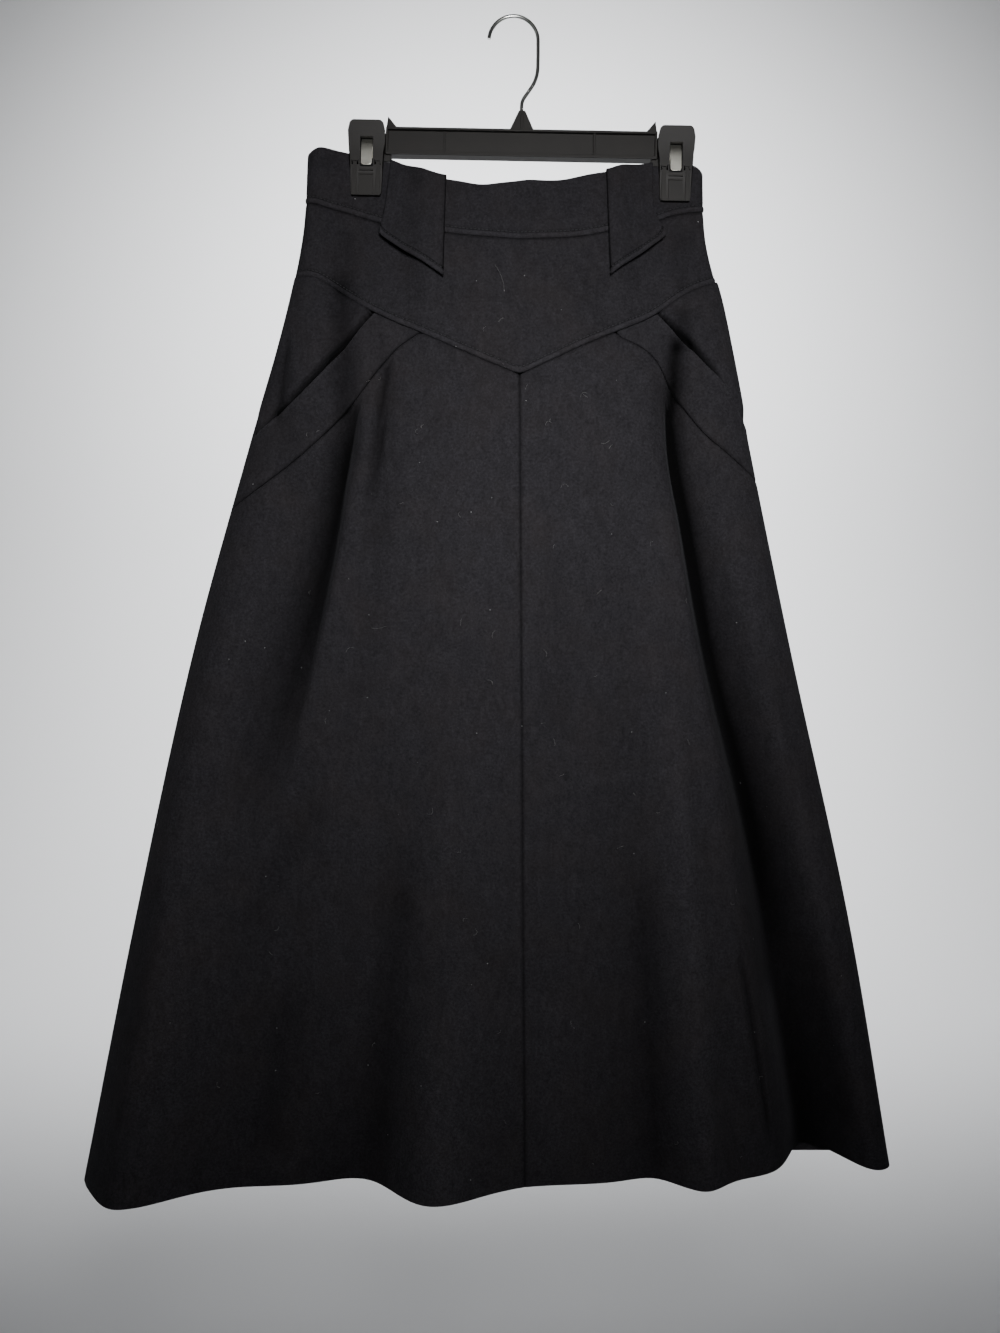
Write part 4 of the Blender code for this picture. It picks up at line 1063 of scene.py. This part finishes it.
# Lint
# Pale fibres caught in the nap: short curled hairs and a few specks, thickest over the yoke and down the
# middle of the front, where the photo shows them. The table holds the x, z, length and turn of each.
LINT_SPOTS = [
    (-9, -240, 26, 1.9), (-10, -277, 6, 0.6), (-25, -285, 5, 1.1), (-7, -317, 4, 2.2),
    (30, -366, 7, 0.4), (62, -343, 6, 2.6), (84, -387, 5, 0.9), (-83, -374, 5, 1.5),
    (-124, -329, 5, 0.3), (-178, -376, 6, 2.0), (12, -336, 5, 1.2), (44, -420, 8, 0.2),
    (-46, -446, 6, 1.7), (74, -512, 6, 0.8), (-18, -588, 7, 2.4), (118, -470, 5, 1.1),
    (-140, -560, 8, 0.5), (36, -640, 6, 1.8), (-68, -700, 9, 0.9), (150, -640, 5, 2.1),
    (92, -730, 6, 0.4), (-30, -800, 7, 1.3), (188, -780, 5, 2.8), (-200, -800, 6, 0.7),
    (50, -880, 8, 2.0), (-120, -900, 6, 1.4), (214, -930, 5, 0.6), (-6, -960, 6, 2.3),
    (140, -980, 5, 1.0), (-250, -930, 6, 1.9), (-169, -372, 5, 0.5), (-115, -327, 3, 1.0),
    (-121, -428, 3, 2.0), (-95, -436, 4, 0.2), (-78, -369, 4, 0.9), (60, -341, 8, 0.6),
    (32, -365, 3, 1.4), (80, -384, 8, 0.4), (85, -437, 3, 2.6), (35, -473, 4, 1.2),
    (-114, -543, 13, 0.1), (-44, -538, 6, 1.4), (-17, -548, 7, 1.2), (29, -564, 7, 1.9),
    (71, -584, 3, 0.3), (-160, -622, 5, 1.5), (26, -624, 4, 0.2), (42, -668, 5, 0.4),
    (105, -686, 5, 1.7), (124, -700, 4, 0.3), (149, -519, 4, 1.6), (-44, -732, 5, 0.8),
    (-177, -511, 4, 1.3), (-206, -820, 4, 2.4), (-166, -939, 3, 0.2), (195, -995, 3, 1.1),
    (192, -769, 4, 1.5), (-41, -788, 5, 0.7), (57, -796, 5, 1.8), (-11, -884, 4, 0.9),
]
HAIR_RADIUS, LONG_HAIR, HAIR_POINTS, HAIR_OFF, HAIR_CURL = 0.05, 20, 10, 0.35, 0.25


def round_wire(name, radius, resolution, material):
    """A curve with a round section, in millimetres."""
    curve = bpy.data.curves.new(name, "CURVE")
    curve.dimensions = "3D"
    curve.bevel_depth = radius * MM
    curve.bevel_resolution = resolution
    curve.materials.append(material)
    return curve


fibre, tree, shader = new_material("lint_fibre", Roughness=0.6, Sheen_Weight=0.3)
feed(tree, shader, Base_Color=mixed(tree, noise(tree, 3.0), "#4a4a4d", "#8a8884"))
chance = random.Random(7)
hairs = round_wire("lint", HAIR_RADIUS, 1, fibre)
for x0, z0, long, turn in LINT_SPOTS:
    spline = hairs.splines.new("POLY")
    spline.points.add(HAIR_POINTS - 1)
    bend = chance.uniform(-1.6, 1.6) if long < LONG_HAIR else 0.35
    for i, spot in enumerate(spline.points):
        t = i / (HAIR_POINTS - 1) - 0.5
        angle = turn + bend * t
        x, z = x0 + long * t * math.cos(angle), z0 + long * t * math.sin(angle)
        side = LEFT if x < float(CENTRE["x"](z)) else RIGHT
        w = w_of(side, x, z)
        p = cloth(side, w, z) + outward(side, w, z) * (HAIR_OFF + HAIR_CURL * math.sin(5 * t))
        spot.co = (*(p * MM), 1)
dress(linked("lint", hairs))


# Clip hanger
# A moulded black polystyrene bar with a flange along each edge, ribs, and a boss for the hook. A clip is
# moulded on each end: its back jaw is one piece with the bar, and its front jaw is a separate moulding.
# Heights are from the middle of the bar.
BAR_Z, TILT = -113.0, 0.019
END, HALF = 120.0, 12.0  # half the bar's length and height
CLIP_TOP, CLIP_FOOT = 15.0, -49.6
Block = namedtuple("Block", "x y z")
BAR_BLOCKS = {
    "web": Block((-END, END), (-1.5, 1.5), (-HALF, HALF)),
    "upper flange": Block((-END, END), (-5, 5), (HALF - 2, HALF + 0.2)),
    "lower flange": Block((-END, END), (-5, 5), (-HALF - 0.2, -HALF + 2.6)),
    "right rib": Block((63.5, 65.5), (-3.6, 3.6), (-HALF, HALF)),
    "left rib": Block((-69, -67), (-2.2, 2.2), (-HALF, HALF)),
}
BOSS = [(-11, HALF - 1), (11, HALF - 1), (2.8, HALF + 17), (-2.8, HALF + 17)]
BOSS_HALF, BOSS_RIB = 4, Block((-1.2, 1.2), (-5, 5), (HALF - 1, HALF + 15))
END_PLATE = Block((END - 2, END + 0.1), (-4.6, 4.6), (-HALF - 0.1, HALF + 0.1))
END_FOOT = Block((END - 5, END + 2.5), (-2.4, 2.0), (-HALF - 5.5, -HALF + 1))
END_NECK = Block((END - 1, END + 1.5), (1.0, 4.2), (-8, 9))
GUSSET, GUSSET_HALF = [(END, HALF - 1), (END - 11, HALF - 1), (END - 1.5, HALF + 10.5)], 2.6
# Distance from the middle plane and height round a jaw's section, then its half width at heights
JAW_OUTLINE = [
    (11.0, 15.0), (9.2, 6.5), (7.4, -3.5), (7.0, -12.0), (6.6, -22.5), (6.4, -28.5), (5.6, -31.5),
    (5.6, -49.6), (3.2, -49.6), (3.2, -8.5), (0.35, -6.0), (0.35, -3.0), (4.0, 0.0), (8.5, 15.0),
]
JAW_WIDTH = through([-49.6, -28.5, -14, -7, 2, 12, 15], [13.4, 14.0, 14.3, 15.6, 16.4, 15.8, 14.4])
JAW_CORNER = 3.4
JAW_CUTS = {
    "window": Block((-5.6, 5.6), (-30, 30), (-24.0, 1.5)),
    "left notch": Block((-12.0, -8.4), (5.6, 9.0), (-22.4, -19.2)),
    "right notch": Block((8.4, 12.0), (5.6, 9.0), (-22.4, -19.2)),
}
JAW_BLOCKS = {
    "pad": Block((-6.2, 6.2), (5.0, 6.9), (CLIP_FOOT + 1.2, -31.5)),
    "upper ridge": Block((-6.2, 6.2), (5.0, 7.7), (-28.0, -26.7)),
    "lower ridge": Block((-6.2, 6.2), (5.0, 7.7), (-31.6, -30.3)),
    "left rail": Block((-12.4, -8.6), (5.0, 7.3), (CLIP_FOOT + 1.0, -24.0)),
    "right rail": Block((8.6, 12.4), (5.0, 7.3), (CLIP_FOOT + 1.0, -24.0)),
    "foot rim": Block((-12.6, 12.6), (4.6, 7.2), (CLIP_FOOT, CLIP_FOOT + 1.2)),
}
hanger_place = Matrix.Translation(Vector((BAR_X, 0, BAR_Z)) * MM) @ Matrix.Rotation(TILT, 4, "Y")

plastic, tree, shader = new_material("hanger_polystyrene_moulded", Specular_IOR_Level=0.28)
grain = noise(tree, 0.7, Detail=3.0)
feed(
    tree, shader, Base_Color=mixed(tree, noise(tree, 22.0, Distortion=0.8), "#131110", "#1c1a18"),
    Roughness=remapped(tree, grain, low=0.48, high=0.70), Normal=bumped(tree, grain, 0.12, 0.3),
)


def extruded(bm, outline, low, high, axis):
    """Adds a closed prism: axis X takes an outline in YZ, axis Y one in XZ. Returns its vertices."""
    def place(u, v, d):
        return Vector((d, u, v) if axis == "X" else (u, d, v)) * MM

    face = bm.faces.new([bm.verts.new(place(u, v, low)) for u, v in outline])
    made = bmesh.ops.extrude_face_region(bm, geom=[face])["geom"]
    moved = [v for v in made if isinstance(v, bmesh.types.BMVert)]
    bmesh.ops.translate(bm, vec=place(0, 0, high - low), verts=moved)
    return list(face.verts) + moved


def block(bm, form, x=0.0, x_sign=1, y_sign=1):
    """Adds a closed block, moved along x after it is mirrored."""
    left, right = sorted(x_sign * v for v in form.x)
    front, back = sorted(y_sign * v for v in form.y)
    left, right = left + x, right + x
    low, high = form.z
    extruded(bm, [(left, low), (right, low), (right, high), (left, high)], front, back, "Y")


def mesh_object(name, bm, material, bevel):
    """A finished piece of the hanger from a bmesh, with its edges rounded."""
    bmesh.ops.recalc_face_normals(bm, faces=bm.faces)
    bmesh.ops.transform(bm, matrix=hanger_place, verts=bm.verts)
    made = object_from(bm, name, material)
    round_off = made.modifiers.new("moulded_edges", "BEVEL")
    round_off.width, round_off.segments, round_off.limit_method = bevel * MM, 2, "ANGLE"
    round_off.angle_limit = math.radians(32)
    round_off.harden_normals = True
    return made


def round_corners(bm, edges, radius):
    bmesh.ops.bevel(
        bm, geom=edges, offset=radius * MM, affect="EDGES", segments=4, profile=0.5, material=-1,
    )


def add_jaw(sign, x):
    """One jaw of a clip with its lever, sign -1 in front and 1 behind."""
    bm = bmesh.new()
    for vert in extruded(bm, [(sign * y, z) for y, z in JAW_OUTLINE], -1.0, 1.0, "X"):
        vert.co.x *= float(JAW_WIDTH(vert.co.z / MM))
    corners = []
    for edge in bm.edges:
        a, b = (v.co for v in edge.verts)
        at_end = a.z > (CLIP_TOP - 0.1) * MM or a.z < (CLIP_FOOT + 0.1) * MM
        if abs(a.z - b.z) < 1e-6 and abs(a.x - b.x) < 1e-6 and at_end:
            corners.append(edge)
    round_corners(bm, corners, JAW_CORNER)
    bmesh.ops.translate(bm, vec=(x * MM, 0, 0), verts=bm.verts)
    bmesh.ops.recalc_face_normals(bm, faces=bm.faces)
    jaw = object_from(bm, "jaw", smooth=False)
    cut = bmesh.new()
    for form in JAW_CUTS.values():
        block(cut, form, x, y_sign=sign)
    bmesh.ops.recalc_face_normals(cut, faces=cut.faces)
    cut_away(jaw, object_from(cut, "cut", smooth=False))
    shaped = bmesh.new()
    shaped.from_mesh(jaw.data)
    bpy.data.objects.remove(jaw)
    for form in JAW_BLOCKS.values():
        block(shaped, form, x, y_sign=sign)
    return shaped


bar = bmesh.new()
for form in BAR_BLOCKS.values():
    block(bar, form)
extruded(bar, BOSS, -BOSS_HALF, BOSS_HALF, "Y")
block(bar, BOSS_RIB)
for sign in (-1, 1):
    block(bar, END_PLATE, x_sign=sign)
    block(bar, END_FOOT, x_sign=sign)
    extruded(bar, [(sign * x, z) for x, z in GUSSET], -GUSSET_HALF, GUSSET_HALF, "Y")
    block(bar, END_NECK, x_sign=sign)
dress(mesh_object("hanger_bar", bar, plastic, 0.5), "hanger_body")
for sign, word in SIDE_WORDS:
    back = mesh_object(f"clip_{word}_back_jaw", add_jaw(1, sign * CLIP_AT), plastic, 0.45)
    dress(back)
    front = mesh_object(f"clip_{word}_front_jaw", add_jaw(-1, sign * CLIP_AT), plastic, 0.45)
    dress(front, f"clip_{word}")


# Clip springs
# A bright strap of rolled spring steel bent over the pivot of each clip, with one leg in the window of
# each jaw. It holds the jaws shut on the waistband.
SPRING_HALF, SPRING_THICK, SPRING_CORNER = 4.8, 0.9, 2.6
# Distance from the middle plane and height along the front leg, up to the bend
SPRING_PATH = [
    (-6.4, -23.0), (-6.2, -17.0), (-6.0, -10.5), (-5.6, -6.0),
    (-4.8, -2.3), (-3.2, 0.4), (-1.5, 1.5), (0, 1.8),
]
steel, tree, shader = new_material("spring_steel_rolled", Metallic=1.0, Base_Color=linear("#d8d6cc"))
rolled = noise(tree, 1.6, Detail=4.0)
feed(
    tree, shader,
    Roughness=remapped(tree, rolled, low=0.18, high=0.5), Normal=bumped(tree, rolled, 0.25, 0.3),
)
path = [Vector(p) for p in SPRING_PATH + [(-y, z) for y, z in reversed(SPRING_PATH[:-1])]]
inner, outer = [], []
for i, p in enumerate(path):
    along = (path[min(i + 1, len(path) - 1)] - path[max(i - 1, 0)]).normalized()
    aside = Vector((-along.y, along.x)) * SPRING_THICK / 2
    outer.append(tuple(p + aside))
    inner.append(tuple(p - aside))
for sign, word in SIDE_WORDS:
    strap = bmesh.new()
    x = sign * CLIP_AT
    extruded(strap, outer + inner[::-1], x - SPRING_HALF, x + SPRING_HALF, "X")
    tips = []
    for edge in strap.edges:
        a, b = (v.co for v in edge.verts)
        if abs(a.x - b.x) < 1e-6 and max(a.z, b.z) < -22.4 * MM and (a - b).length < 1.2 * MM:
            tips.append(edge)
    round_corners(strap, tips, SPRING_CORNER)
    dress(mesh_object(f"clip_{word}_spring", strap, steel, 0.12), f"spring_{word}")


# Hook
# Drawn steel wire 3.2 mm thick, bright nickel plated, bent to a crown that sits on the rail and down into
# the boss of the hanger, where it turns.
WIRE, WIRE_STEP = 3.2, 1.3
CROWN_RADIUS, CROWN_X, CROWN_Z, CROWN_START = 21.8, 1.4, -20.2, 176
DROP_Z = [-20.2, -28, -38, -48, -57.5, -66, -72.5, -78, -84, -88]
DROP_X = [23.2, 23.2, 23.1, 22.6, 19.8, 14.4, 10.0, 8.6, 8.5, 8.5]
nickel, tree, shader = new_material("hook_wire_nickel_plated", Metallic=1.0, Base_Color=linear("#c9c9c6"))
feed(tree, shader, Roughness=remapped(tree, noise(tree, 2.2, Detail=3.0), low=0.12, high=0.34))
wire = round_wire("hook_wire", WIRE / 2, 5, nickel)
wire.use_fill_caps = True
arc = np.radians(np.linspace(CROWN_START, 0, 60))
route = [(CROWN_X + CROWN_RADIUS * math.cos(a), CROWN_Z + CROWN_RADIUS * math.sin(a)) for a in arc]
drop = through(DROP_Z, DROP_X)
route += [(float(drop(z)), z) for z in np.arange(CROWN_Z - WIRE_STEP, DROP_Z[-1], -WIRE_STEP)]
spline = wire.splines.new("POLY")
spline.points.add(len(route) - 1)
for spot, (x, z) in zip(spline.points, route):
    spot.co = (x * MM, 0, z * MM, 1)
spline.use_smooth = True
dress(linked("hook_wire", wire), "hook")
